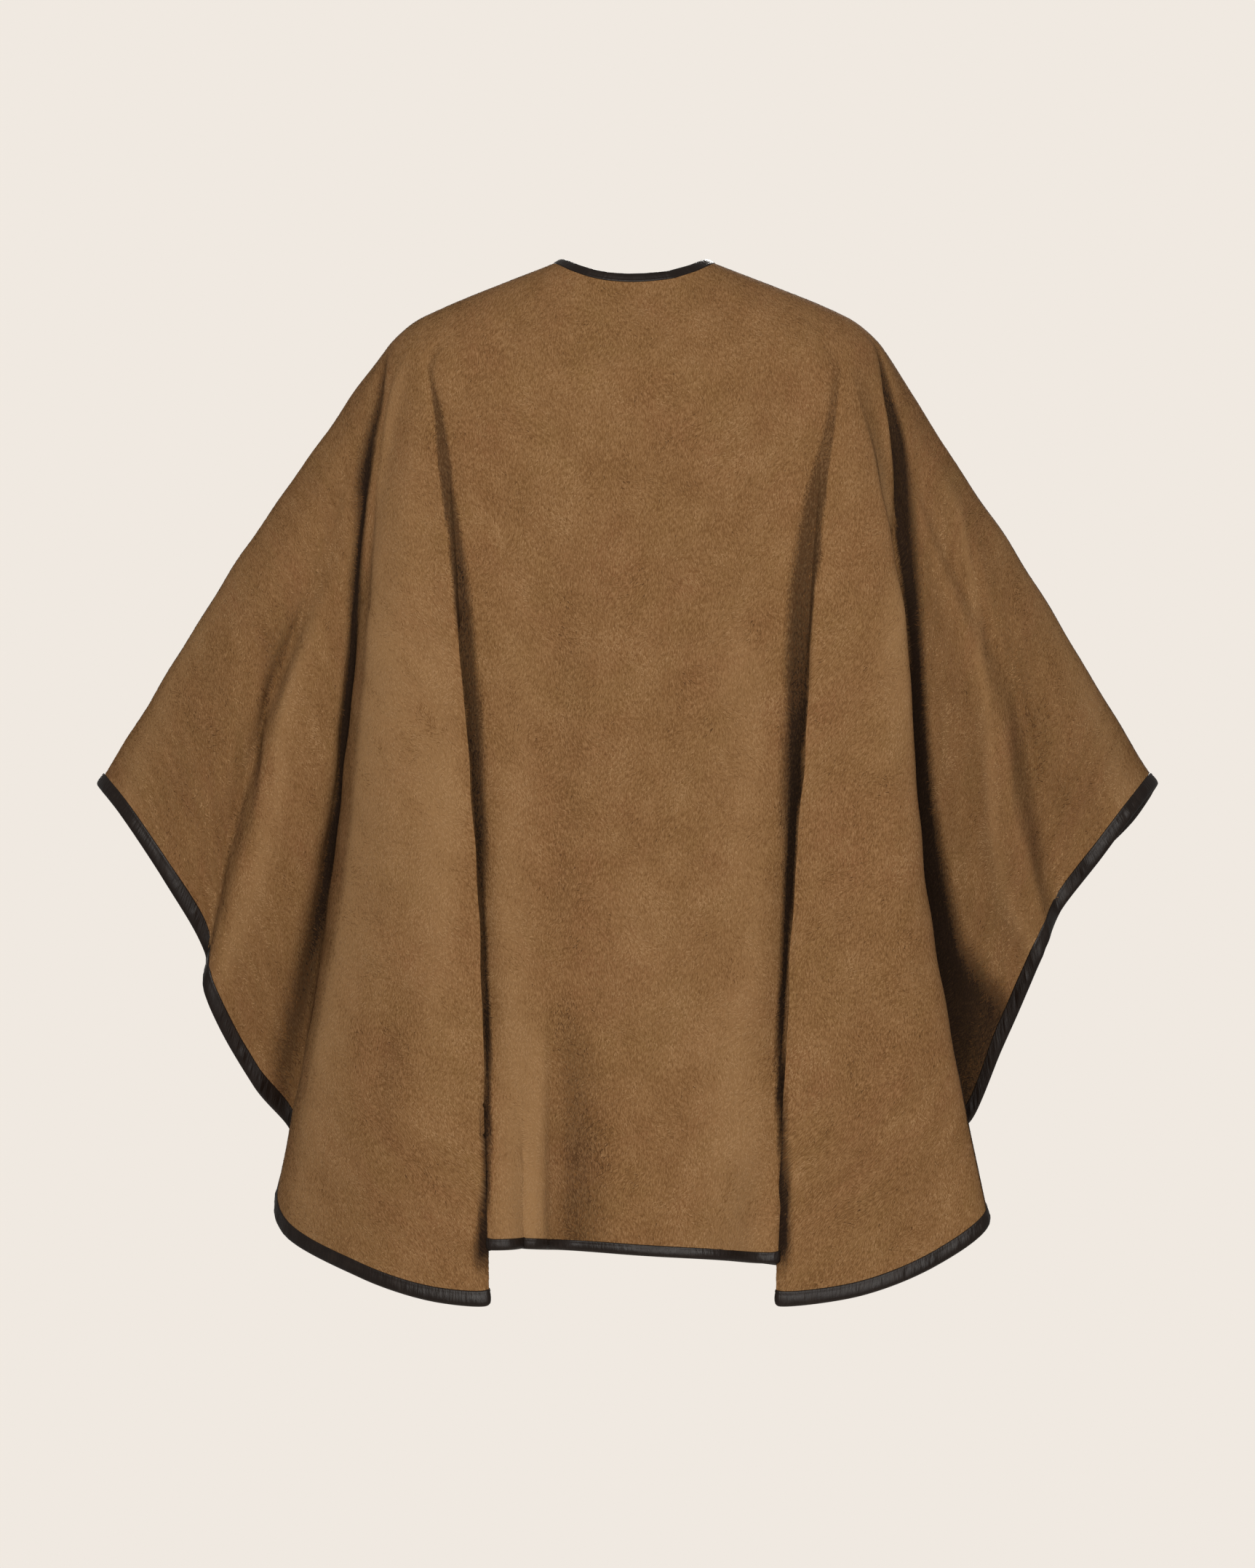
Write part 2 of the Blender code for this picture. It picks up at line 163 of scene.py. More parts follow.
#   name            bearing  chest        waist        hem
BACK_RIBS = (
    Rib("left_arm",      0.0, -327,   0,  -414,  -2,  -512,  -6, 501),
    Rib("left_under",    8.0, -300,  40,  -384,  44,  -488,  37, 527),
    Rib("left_wing",    14.0, -283,  54,  -353,  60,  -444,  55, 590),
    Rib("left_dip",     19.0, -279,  60,  -351,  52,  -405,  42, 664),
    Rib("left_swell",   23.0, -270,  67,  -343,  76,  -404,  66, 697),
    Rib("left_inner",   26.5, -262,  72,  -297,  66,  -360,  46, 785),
    Rib("left_valley",  30.0, -255,  76,  -286,  52,  -324,  30, 834),
    Rib("left_flank",   33.5, -242, 102,  -272, 110,  -332, 112, 909),
    Rib("left_flute",   37.0, -218, 124,  -230, 156,  -250, 196, 951),
    Rib("left_panel",   41.0, -186, 134,  -182, 176,  -180, 226, 970),
    Rib("left_edge",    45.0, -163, 138,  -143, 180,  -133, 232, 972),
    Rib("back_left",    61.0, -118, 118,  -108, 150,  -104, 190, 923),
    Rib("tail_swell",   71.0,  -89, 119,   -90, 150,   -92, 196, 924),
    Rib("tail_dip",     77.0,  -62, 120,   -66, 148,   -68, 184, 926),
    Rib("back_middle",  90.0,    0, 124,     2, 150,     5, 192, 931),
    Rib("back_right",  113.0,   87, 120,    88, 150,    84, 192, 935),
    Rib("right_edge",  135.0,  165, 138,   145, 178,   129, 226, 973),
    Rib("right_panel", 139.0,  200, 136,   206, 178,   204, 222, 965),
    Rib("right_flute", 142.5,  232, 128,   252, 170,   277, 206, 938),
    Rib("right_flank", 146.0,  250, 114,   269, 150,   323, 182, 906),
    Rib("right_inner", 152.0,  264,  62,   289,  48,   315,  36, 822),
    Rib("right_slope", 155.0,  270,  63,   312,  60,   348,  52, 748),
    Rib("right_swell", 158.0,  275,  63,   341,  74,   388,  66, 652),
    Rib("right_dip",   161.5,  280,  56,   360,  48,   402,  42, 622),
    Rib("right_wing",  166.0,  285,  52,   371,  52,   440,  48, 571),
    Rib("right_under", 172.0,  296,  40,   378,  43,   474,  36, 527),
    Rib("right_arm",   180.0,  318,   0,   402,  -2,   499,  -6, 501),
)

#             folded:  back  past  depth  drop   turned under:  back  kick  past  depth  layer
LAP_LINES = (
    LapLine("return",  0.50,  0.0,  0.50, 0.30,                 0.50,  0.0,  0.0,  0.50,   5.0),
    LapLine("turn",    1.00,  0.0,  0.95, 0.60,                 0.95,  0.0,  0.0,  1.00,  10.0),
    LapLine("kick",    0.55,  0.0,  1.05, 1.00,                 0.00,  1.0,  7.0,  1.00,  18.0),
    LapLine("heel",    0.15,  0.0,  1.05, 1.00,                 0.00,  0.0, -1.0,  0.60,   5.0),
    LapLine("under",   0.00,  8.0,  1.02, 1.00,                 0.00,  0.0, 16.0,  0.62,   0.0),
)

# The two fronts mirror each other. These are the right one's, from the middle to the arm.
#   name     bearing   chest        waist        hem
FRONT_RIBS = (
    Rib("edge",   269.3,   9, -110,    11, -124,    14, -140, 915),
    Rib("panel",  255.0,  70, -116,    75, -138,    85, -164, 912),
    Rib("trough", 240.0, 140, -106,   150, -118,   165, -126, 905),
    Rib("flute",  224.0, 205, -106,   232, -136,   282, -170, 880),
    Rib("flank",  212.0, 245,  -84,   282,  -88,   334,  -92, 795),
    Rib("dip",    204.0, 266,  -58,   318,  -46,   368,  -38, 690),
    Rib("wing",   196.0, 281,  -52,   348,  -58,   420,  -50, 600),
    Rib("under",  188.0, 298,  -38,   380,  -44,   482,  -38, 533),
)

# share, sink, span, start, reach, shade, and where they are not plain: tuck, tuck_shade
LAPS = (
    Lap("left_edge", +1, 48.0, 30.0, 14.0, (
        (0.120,   0.0, 14, -19.0, -14.0, 0.00),
        (0.144,   0.0, 14, -16.4,  -9.3, 0.50),
        (0.169,   0.0, 14, -12.2,  -2.2, 0.60),
        (0.194,   0.0, 14,  -9.0,   4.0, 0.64),
        (0.235,   2.5, 14,  -8.0,   6.0, 0.70),
        (0.277,   5.0, 14,  -4.0,  10.0, 0.74),
        (0.319,   6.0, 14,  -3.0,  13.5, 0.80),
        (0.358,   7.0, 14,  -1.4,  15.0, 0.80),
        (0.404,   8.0, 13,   0.0,  15.2, 0.78),
        (0.490,   8.5, 13,   0.0,  16.7, 0.78),
        (0.537,   9.0, 12,   0.0,  14.5, 0.82),
        (0.583,   9.0, 11,   0.0,  11.6, 0.85),
        (0.625,   9.0, 10,   0.0,   9.0, 0.87),
        (0.671,   8.0,  9,   0.0,   6.4, 0.87),
        (0.758,   5.0, 10,   0.0,   6.5, 0.95),
        (0.810,   2.0, 14,   0.0,   6.5, 0.97,  2.0, 0.40),
        (0.846,  -3.0, 20,  -1.0,   5.8, 0.97,  3.0, 0.85),
        (0.873,  -8.0, 28,  -2.0,   5.8, 0.97,  3.6, 0.95),
        (0.899, -13.0, 42,  -3.0,   5.6, 0.97,  4.6, 0.97),
        (0.927, -18.0, 58,  -3.0,   5.2, 0.97,  8.0, 0.97),
        (0.941, -20.0, 68,  -3.0,   4.8, 0.97, 10.4, 1.02),
        (0.955, -20.0, 78,  -3.0,   4.4, 0.95, 11.5, 1.00),
        (0.963, -20.0, 78,  -3.0,   3.0, 0.50, 11.5, 0.60),
        (0.970, -20.0, 78,  -3.0,   2.0, 0.15, 11.0, 0.24),
        (0.985, -20.0, 78,   0.0,   2.0, 0.00, 10.0, 0.06),
        (1.000, -20.0, 42,   0.0,   2.0, 0.00, 10.0, 0.00),
    )),
    Lap("right_edge", -1, 48.0, 30.0, 40.0, (
        (0.120,   0.0, 14, -19.0, -10.0, 0.00),
        (0.144,   0.0, 14, -17.0,  -6.0, 0.34),
        (0.169,   0.0, 14, -13.5,  -4.0, 0.36),
        (0.194,   0.0, 14, -10.7,   3.0, 0.48),
        (0.235,   2.5, 16,  -5.0,  14.4, 0.60),
        (0.277,   5.0, 18,  -3.6,  21.1, 0.66),
        (0.317,   6.0, 18,  -0.9,  25.0, 0.70),
        (0.356,   7.0, 18,   0.0,  24.9, 0.75),
        (0.398,   8.0, 18,   0.0,  24.7, 0.79),
        (0.442,   9.0, 17,   0.0,  21.7, 0.87),
        (0.483,  10.0, 16,   0.0,  20.2, 0.92),
        (0.529,  10.0, 15,   0.0,  17.3, 0.96),
        (0.567,  10.0, 14,   0.0,  14.7, 0.98),
        (0.617,  10.0, 13,   0.0,  11.0, 0.98),
        (0.704,   8.0, 12,   0.0,   8.0, 0.98),
        (0.746,   6.0, 12,   0.0,   8.5, 1.00),
        (0.792,   4.0, 12,   0.0,   8.0, 1.00),
        (0.833,  -1.0, 18,  -1.0,   6.5, 1.00,  3.6, 0.92),
        (0.871,  -7.0, 28,  -2.0,   4.6, 1.00,  5.5, 1.00),
        (0.898, -13.0, 32,  -2.0,   2.2, 0.60,  8.0, 1.00),
        (0.924, -18.0, 38,  -2.0,   1.6, 0.30,  9.0, 1.00),
        (0.937, -20.0, 40,  -2.0,   1.6, 0.10,  9.6, 1.02),
        (0.953, -20.0, 42,  -2.0,   1.6, 0.00,  9.6, 1.00),
        (0.961, -20.0, 42,  -2.0,   1.6, 0.00,  9.6, 0.58),
        (0.968, -20.0, 42,   0.0,   2.0, 0.00, 10.0, 0.24),
        (0.985, -20.0, 42,   0.0,   2.0, 0.00, 10.0, 0.10),
        (1.000, -20.0, 42,   0.0,   2.0, 0.00, 10.0, 0.00),
    )),
    Lap("right_flank", +1, 36.0, 70.0, 0.0, (
        (0.135, 0, 14,  26.0, 29.0, 0.00),
        (0.160, 0, 14,  24.8, 29.2, 0.80),
        (0.200, 0, 14,  20.9, 27.0, 0.86),
        (0.250, 0, 14,  15.8, 25.0, 0.92),
        (0.298, 0, 14,   9.5, 23.0, 0.94),
        (0.335, 2, 14,   4.5, 20.0, 0.95),
        (0.375, 4, 14,   1.5, 19.0, 0.97),
        (0.405, 6, 15,   0.0, 18.0, 1.00),
        (0.450, 6, 15,   0.0, 17.2, 1.00),
        (0.500, 6, 15,   0.0, 17.0, 1.00),
        (0.567, 6, 15,   0.0, 18.0, 1.00),
        (0.617, 6, 15,   0.0, 19.6, 1.00),
        (0.667, 5, 16,  -4.0, 21.0, 1.00),
        (0.762, 5, 16, -12.0, 21.6, 1.00),
        (0.812, 3, 18, -18.0, 20.6, 1.00),
        (0.862, 3, 18, -28.0, 25.0, 0.96),
        (0.912, 2, 18, -28.0, 30.0, 0.90),
        (0.963, 1, 18, -28.0, 36.0, 0.84),
        (1.000, 0, 18, -28.0, 36.0, 0.80),
    )),
)

# share, rib, past, strength, before, after
CREASES = (
    Crease("left_edge_start", -3.6, 0.00, (
        (0.112, "left_flank", 0.00, 0.00, 6,  6),
        (0.129, "left_flank", 0.48, 0.45, 6,  6),
        (0.146, "left_flute", 0.58, 0.62, 5,  8),
        (0.167, "left_panel", 0.34, 0.72, 5, 10),
        (0.196, "left_panel", 0.66, 0.85, 5, 12),
        (0.235, "left_panel", 1.00, 0.80, 5, 15),
        (0.300, "left_edge",  1.20, 0.00, 5, 15),
    )),
    Crease("right_edge_start", -3.2, 0.00, (
        (0.118, "right_flute", 0.90, 0.00, 12,  9),
        (0.133, "right_flute", 0.40, 0.45, 14, 10),
        (0.142, "right_panel", 0.24, 0.60, 14, 10),
        (0.171, "right_edge",  0.77, 0.72, 16,  9),
        (0.200, "right_edge",  0.32, 0.85, 18,  9),
        (0.240, "back_right",  5.75, 0.90, 19,  7),
        (0.300, "back_right",  4.60, 0.00, 20,  6),
    )),
    Crease("right_flank_start", -5.0, 0.00, (
        (0.128, "right_dip",   1.40, 0.00, 4.0,  7),
        (0.152, "right_dip",   0.80, 0.55, 4.0,  8),
        (0.179, "right_dip",   0.20, 0.90, 4.5, 10),
        (0.240, "right_slope", 0.35, 1.00, 5.0, 13),
        (0.304, "right_flank", 5.75, 1.00, 5.0, 15),
        (0.355, "right_flank", 3.60, 0.70, 6.0, 15),
        (0.410, "right_flank", 2.00, 0.00, 6.0, 14),
    )),
    Crease("left_valley", -5.5, 1.25, (
        (0.150, "left_under",  0.30, 0.00,  9,  5),
        (0.163, "left_under",  0.88, 0.40, 10,  5),
        (0.180, "left_wing",   0.60, 0.55, 11,  5),
        (0.212, "left_dip",    0.31, 0.65, 12,  6),
        (0.254, "left_dip",    0.28, 0.75, 13,  7),
        (0.300, "left_dip",    0.75, 0.82, 18, 13),
        (0.338, "left_swell",  0.29, 0.88, 19, 15),
        (0.467, "left_inner",  0.84, 0.92, 14, 13),
        (0.621, "left_valley", 0.08, 0.95, 15, 16),
        (0.796, "left_inner",  0.79, 0.68, 20, 18),
        (0.933, "left_inner",  0.49, 0.46, 18, 18),
        (1.000, "left_inner",  0.54, 0.30, 16, 16),
    )),
    Crease("left_valley_crest", 2.2, -0.90, (
        (0.135, "left_inner",  0.20, 0.00,  4, 10),
        (0.167, "left_swell",  0.40, 0.60,  4, 12),
        (0.300, "left_valley", 0.20, 0.60,  7, 20),
        (0.429, "left_flank",  0.08, 0.95,  9, 34),
        (0.537, "left_flank",  0.14, 1.00,  9, 34),
        (0.721, "left_flank",  0.10, 0.95, 10, 34),
        (0.829, "left_flank",  0.12, 0.80, 10, 30),
        (0.921, "left_flank",  0.20, 0.50, 12, 30),
        (1.000, "left_flank",  0.20, 0.50, 12, 30),
    )),
    Crease("left_dip", -3.0, 0.36, (
        (0.480, "left_wing",  0.50, 0.00, 18, 10),
        (0.565, "left_wing",  0.60, 0.70, 26, 18),
        (0.629, "left_wing",  0.30, 0.90, 30, 20),
        (0.670, "left_wing",  0.80, 0.95, 30, 18),
        (0.738, "left_swell", 0.02, 1.00, 24,  8),
        (0.783, "left_swell", 0.04, 0.90, 20,  8),
        (0.850, "left_dip",   0.92, 0.60, 16,  9),
        (0.960, "left_dip",   0.80, 0.10, 12, 10),
    )),
    Crease("left_dip_crest", 1.8, -0.75, (
        (0.470, "left_dip",   0.50, 0.0, 8, 16),
        (0.554, "left_dip",   0.65, 0.8, 8, 16),
        (0.683, "left_swell", 0.30, 0.7, 8, 18),
        (0.812, "left_swell", 0.34, 0.8, 8, 16),
        (0.912, "left_swell", 0.25, 0.9, 8, 14),
        (0.990, "left_swell", 0.20, 0.2, 8, 12),
    )),
    Crease("left_edge_crest", 1.0, -0.75, (
        (0.340, "left_panel", 0.10, 0.0, 20, 14),
        (0.404, "left_panel", 0.20, 0.4, 22, 14),
        (0.542, "left_panel", 0.25, 0.9, 26, 14),
        (0.675, "left_panel", 0.05, 0.6, 26, 16),
        (0.800, "left_flute", 0.90, 0.2, 24, 18),
        (0.880, "left_flute", 0.90, 0.0, 24, 18),
    )),
    Crease("left_panel_light", 0.0, -0.42, (
        (0.200, "left_flank", 0.6, 0.0, 26, 30),
        (0.280, "left_flank", 0.6, 0.8, 26, 30),
        (0.412, "left_flute", 0.0, 1.0, 26, 34),
        (0.550, "left_flute", 0.2, 0.7, 30, 32),
        (0.690, "left_flute", 0.0, 0.5, 36, 34),
        (0.800, "left_flank", 0.6, 0.4, 36, 40),
        (1.000, "left_flank", 0.5, 0.4, 36, 44),
    )),
    Crease("left_wing_shade", 0.0, 0.20, (
        (0.450, "left_under", 0.3, 0.0, 60, 60),
        (0.700, "left_under", 0.6, 0.8, 60, 60),
        (0.870, "left_under", 0.6, 1.0, 62, 62),
        (1.000, "left_under", 0.6, 0.7, 62, 62),
    )),
    Crease("right_wing_shade", 0.0, 0.16, (
        (0.450, "right_wing",  0.2, 0.0, 60, 60),
        (0.700, "right_wing", -0.2, 0.8, 60, 60),
        (0.820, "right_wing", -0.1, 1.0, 60, 62),
        (0.920, "right_wing",  0.2, 1.0, 60, 62),
        (1.000, "right_wing",  0.2, 0.7, 60, 62),
    )),
    Crease("right_panel_shade", 0.0, 0.10, (
        (0.500, "right_panel", 0.30, 0.0, 64, 64),
        (0.680, "right_panel", 0.26, 0.6, 64, 64),
        (0.900, "right_panel", 0.20, 0.9, 70, 70),
        (1.000, "right_panel", 0.20, 0.8, 70, 70),
    )),
    Crease("left_rim", 0.0, -0.60, (
        (0.400, "left_arm",   0.20, 0.0, 12, 16),
        (0.600, "left_arm",   0.25, 0.8, 14, 18),
        (0.740, "left_arm",   0.30, 1.0, 14, 20),
        (0.900, "left_arm",   0.75, 1.0, 16, 20),
        (1.000, "left_under", 0.05, 0.9, 18, 20),
    )),
    Crease("right_rim", 0.0, -0.60, (
        (0.400, "right_under", 0.80, 0.0, 16, 12),
        (0.600, "right_under", 0.75, 0.8, 18, 14),
        (0.740, "right_under", 0.66, 1.0, 20, 14),
        (0.900, "right_under", 0.25, 1.0, 20, 16),
        (1.000, "right_wing",  0.95, 0.9, 20, 18),
    )),
    Crease("left_flute_dip", -3.0, 0.26, (
        (0.600, "left_flute", 0.50, 0.00, 26, 20),
        (0.683, "left_flute", 0.44, 0.30, 28, 20),
        (0.787, "left_flute", 0.22, 1.00, 26, 20),
        (0.862, "left_flute", 0.12, 0.45, 24, 22),
        (0.930, "left_flute", 0.10, 0.00, 24, 22),
    )),
    Crease("back_left_crest", 2.0, -0.55, (
        (0.300, "back_left", 0.60, 0.00, 18, 24),
        (0.404, "back_left", 0.30, 0.45, 16, 28),
        (0.550, "left_edge", 5.90, 0.55, 12, 22),
        (0.671, "left_edge", 5.60, 0.90, 10, 24),
        (0.800, "left_edge", 5.75, 0.90, 12, 28),
        (0.930, "left_edge", 5.60, 0.90, 16, 30),
        (1.000, "left_edge", 5.60, 1.00, 16, 30),
    )),
    Crease("back_left_dip", -1.8, 0.16, (
        (0.300, "tail_swell", 0.80, 0.0, 24, 24),
        (0.396, "tail_swell", 0.98, 0.9, 26, 26),
        (0.560, "tail_dip",   0.10, 0.7, 24, 26),
        (0.660, "tail_dip",   0.00, 0.9, 22, 22),
        (0.740, "tail_dip",   0.05, 0.3, 22, 22),
        (0.800, "tail_dip",   0.10, 0.0, 22, 22),
    )),
    Crease("tail_fill", 5.0, 0.0, (
        (0.840, "left_edge", 6, 0.0, 16, 14),
        (0.900, "left_edge", 6, 0.6, 16, 14),
        (0.950, "left_edge", 6, 1.0, 16, 14),
        (1.000, "left_edge", 6, 0.6, 16, 14),
    )),
    Crease("tail_crest", 3.2, -0.70, (
        (0.740, "tail_swell", 0.20, 0.00, 18, 5.0),
        (0.804, "tail_swell", 0.28, 0.50, 26, 4.0),
        (0.917, "tail_swell", 0.27, 0.75, 38, 3.5),
        (0.979, "tail_swell", 0.34, 0.95, 46, 3.2),
        (1.000, "tail_swell", 0.36, 1.00, 46, 3.2),
    )),
    Crease("tail_dip", -4.6, 0.54, (
        (0.730, "tail_dip", 0.00, 0.00, 16, 22),
        (0.804, "tail_dip", 0.15, 0.65, 17, 28),
        (0.917, "tail_dip", 0.18, 0.90, 18, 30),
        (1.000, "tail_dip", 0.20, 1.00, 18, 30),
    )),
    Crease("back_middle_swell", 1.6, -0.22, (
        (0.560, "back_middle", -0.1, 0.0, 34, 40),
        (0.680, "back_middle",  0.0, 0.9, 36, 42),
        (0.800, "back_middle",  0.3, 0.5, 34, 42),
        (0.880, "back_middle",  0.5, 0.0, 34, 42),
    )),
    Crease("back_right_crest", 2.2, -0.60, (
        (0.330, "back_right", 0.10, 0.0, 26, 12),
        (0.396, "back_right", 0.30, 0.7, 28, 12),
        (0.550, "back_right", 0.36, 0.6, 26, 12),
        (0.688, "back_right", 0.40, 0.7, 26, 12),
        (0.796, "back_right", 0.20, 0.9, 34, 20),
        (0.942, "back_right", 0.40, 1.0, 34, 22),
        (1.000, "back_right", 0.45, 1.0, 34, 22),
    )),
    Crease("right_flank_crest", 1.2, -0.80, (
        (0.200, "right_flank", 3.00, 0.00, 18, 7),
        (0.250, "right_flank", 3.30, 0.60, 20, 7),
        (0.300, "right_flank", 3.80, 1.00, 22, 7),
        (0.370, "right_flank", 0.20, 1.00, 24, 9),
        (0.404, "right_flute", 0.60, 1.00, 24, 9),
        (0.500, "right_flute", 0.55, 0.35, 24, 9),
        (0.600, "right_flute", 0.55, 0.00, 24, 9),
    )),
    Crease("right_swell_crest", 2.4, -0.48, (
        (0.330, "right_under", 0.05, 0.0,  8,  7),
        (0.442, "right_under", 0.05, 0.8,  9,  7),
        (0.583, "right_swell", 0.10, 0.7, 12,  8),
        (0.754, "right_slope", 0.42, 0.8, 14, 10),
        (0.842, "right_slope", 0.40, 0.8, 14, 10),
        (0.954, "right_slope", 0.68, 1.0, 12, 10),
        (1.000, "right_slope", 0.85, 0.8, 12,  8),
    )),
    Crease("right_swell_dip", -2.4, 0.26, (
        (0.400, "right_under", 0.50, 0.00,  8, 14),
        (0.470, "right_under", 0.55, 0.35,  8, 16),
        (0.625, "right_dip",   0.50, 0.50, 12, 34),
        (0.792, "right_swell", 0.00, 1.00, 16, 40),
        (0.896, "right_swell", 0.35, 0.80, 10, 22),
        (1.000, "right_swell", 0.35, 0.40, 10, 18),
    )),
    Crease("left_front_trough", -4.5, 0.50, (
        (0.190, "left_front_trough",  0.6, 0.0, 12, 12),
        (0.330, "left_front_trough",  0.3, 0.7, 13, 14),
        (0.600, "left_front_trough",  0.0, 1.0, 16, 18),
        (1.000, "left_front_trough", -0.1, 0.7, 20, 20),
    )),
    Crease("left_front_flute", 2.2, -0.40, (
        (0.250, "left_front_flute", -0.2, 0.0, 16, 14),
        (0.520, "left_front_flute",  0.0, 0.8, 22, 16),
        (0.850, "left_front_flute",  0.1, 0.6, 24, 18),
        (0.980, "left_front_flute",  0.1, 0.0, 24, 18),
    )),
    Crease("left_front_dip", -4.8, 0.80, (
        (0.160, "left_front_wing",  0.2, 0.00,  7,  8),
        (0.280, "left_front_dip",   0.5, 0.75,  9, 11),
        (0.550, "left_front_dip",   0.0, 1.00, 12, 14),
        (0.850, "left_front_dip",  -0.1, 0.80, 17, 18),
        (1.000, "left_front_dip",  -0.1, 0.40, 16, 16),
    )),
    Crease("left_front_panel", -2.2, 0.22, (
        (0.450, "left_front_panel", 0.5, 0.0, 16, 18),
        (0.740, "left_front_panel", 0.3, 1.0, 18, 20),
        (1.000, "left_front_panel", 0.1, 0.7, 18, 22),
    )),
    Crease("right_front_trough", -4.0, 0.50, (
        (0.170, "right_front_trough", -0.40, 0.0, 12, 11),
        (0.380, "right_front_trough", -0.20, 0.8, 14, 12),
        (0.650, "right_front_trough",  0.05, 0.9, 18, 15),
        (1.000, "right_front_trough",  0.20, 0.8, 22, 18),
    )),
    Crease("right_front_flute", 2.4, -0.40, (
        (0.300, "right_front_flute",  0.1, 0.0, 14, 18),
        (0.600, "right_front_flute",  0.0, 0.9, 16, 22),
        (0.960, "right_front_flute", -0.1, 0.1, 18, 24),
    )),
    Crease("right_front_dip", -4.6, 0.80, (
        (0.180, "right_front_wing", -0.30, 0.0,  8,  7),
        (0.320, "right_front_dip",  -0.20, 0.8, 11,  9),
        (0.500, "right_front_dip",   0.00, 1.0, 14, 11),
        (0.780, "right_front_dip",   0.10, 0.7, 18, 16),
        (1.000, "right_front_dip",   0.15, 0.5, 18, 16),
    )),
    Crease("right_front_panel", -2.4, 0.22, (
        (0.520, "right_front_panel", -0.60, 0.0, 18, 16),
        (0.800, "right_front_panel", -0.35, 1.0, 22, 18),
        (1.000, "right_front_panel", -0.20, 0.9, 24, 18),
    )),
)

# Where columns stand closer, because a crisp edge or a narrow trough runs there.
#        rib             from  to
FINE = (
    ("left_inner",      0.2, 1.5),
    ("left_flute",      0.6, 1.0),
    ("left_panel",      0.6, 1.3),
    ("left_edge",       4.0, 6.4),
    ("tail_swell",      0.1, 0.9),
    ("back_right",      0.6, 2.0),
    ("back_right",      5.6, 7.4),
    ("right_flank",    -0.4, 0.4),
    ("right_flank",     3.4, 6.0),
    ("right_slope",     0.4, 1.4),
)


def smooth(value: np.ndarray) -> np.ndarray:
    """Ease from 0 to 1."""
    value = np.clip(value, 0.0, 1.0)
    return value * value * (3.0 - 2.0 * value)


def unit(vectors: np.ndarray) -> np.ndarray:
    """Vectors of length one."""
    return vectors / np.linalg.norm(vectors, axis=-1, keepdims=True)


def walked(points: np.ndarray, axis: int = 0) -> np.ndarray:
    """Distance of each point from the first one, measured through the points along an axis."""
    steps = np.linalg.norm(np.diff(points, axis=axis), axis=-1)
    return np.concatenate([0.0 * steps.take([0], axis), np.cumsum(steps, axis=axis)], axis=axis)


def spline(points: np.ndarray, knots: np.ndarray, where: np.ndarray, taut: bool = False) -> np.ndarray:
    """Read a smooth curve through points at places counted in points along it.

    Args:
        points: the first axis runs along the curve.
        knots: the points' spacing, which may differ for each curve on the middle axis.
        where: places along the curve.
        taut: turn towards the longer of the two steps at a point, and not the shorter.

    Returns:
        The points read, with the places as first axis.
    """
    knots = knots.reshape(knots.shape + (1,) * (points.ndim - knots.ndim))
    step = np.diff(knots, axis=0)
    slope = np.diff(points, axis=0) / step
    before, after = (step[:-1], step[1:]) if taut else (step[1:], step[:-1])
    inner = (slope[:-1] * before + slope[1:] * after) / (before + after)
    tangent = np.concatenate([slope[:1], inner, slope[-1:]])
    index = np.clip(np.floor(where).astype(int), 0, len(points) - 2)
    part = (where - index).reshape((-1,) + (1,) * (points.ndim - 1))
    span = step[index]
    return (
        points[index] * (1 + 2 * part) * (1 - part) ** 2
        + tangent[index] * span * part * (1 - part) ** 2
        + points[index + 1] * (3 - 2 * part) * part**2
        - tangent[index + 1] * span * part**2 * (1 - part)
    )


def waves(points: np.ndarray, longest: float, shortest: float, turn: float) -> np.ndarray:
    """An uneven swell of about -1 to 1 through space, the same on every run.

    Args:
        points: positions on the last axis, of two or three numbers.
        longest: the longest wave, in the positions' unit.
        shortest: the shortest wave.
        turn: any number; it gives another swell of the same kind.

    Returns:
        The height of the swell at each position.
    """
    total = np.zeros(points.shape[:-1])
    for index in range(WAVE_COUNT):
        length = longest * (shortest / longest) ** (index / (WAVE_COUNT - 1.0))
        angle = GOLDEN_ANGLE * (index + 1) + turn
        tilt = 0.0
        if points.shape[-1] == 3:
            tilt = math.asin(2.0 * (index + 0.5) / WAVE_COUNT - 1.0)
        direction = (math.cos(angle) * math.cos(tilt), math.sin(angle) * math.cos(tilt), math.sin(tilt))
        reach = points @ np.array(direction[: points.shape[-1]])
        phase = GOLDEN_ANGLE * (index + 1) ** 2 * (1.0 + WAVE_DRIFT * turn)
        total += np.sin(reach * 2.0 * math.pi / length + phase)
    return total / math.sqrt(WAVE_COUNT)


@dataclass
class Patch:
    """A grid read from the sheet: rows down it, columns across."""

    points: np.ndarray
    normals: np.ndarray
    flat: np.ndarray  # where the grid lies on the flat cut cloth
    shade: np.ndarray  # painted shade: 1 where the nap is darkest, below 0 where it is lighter, a painted highlight
    turn: np.ndarray  # angle of each column on the cut cloth, from its grain


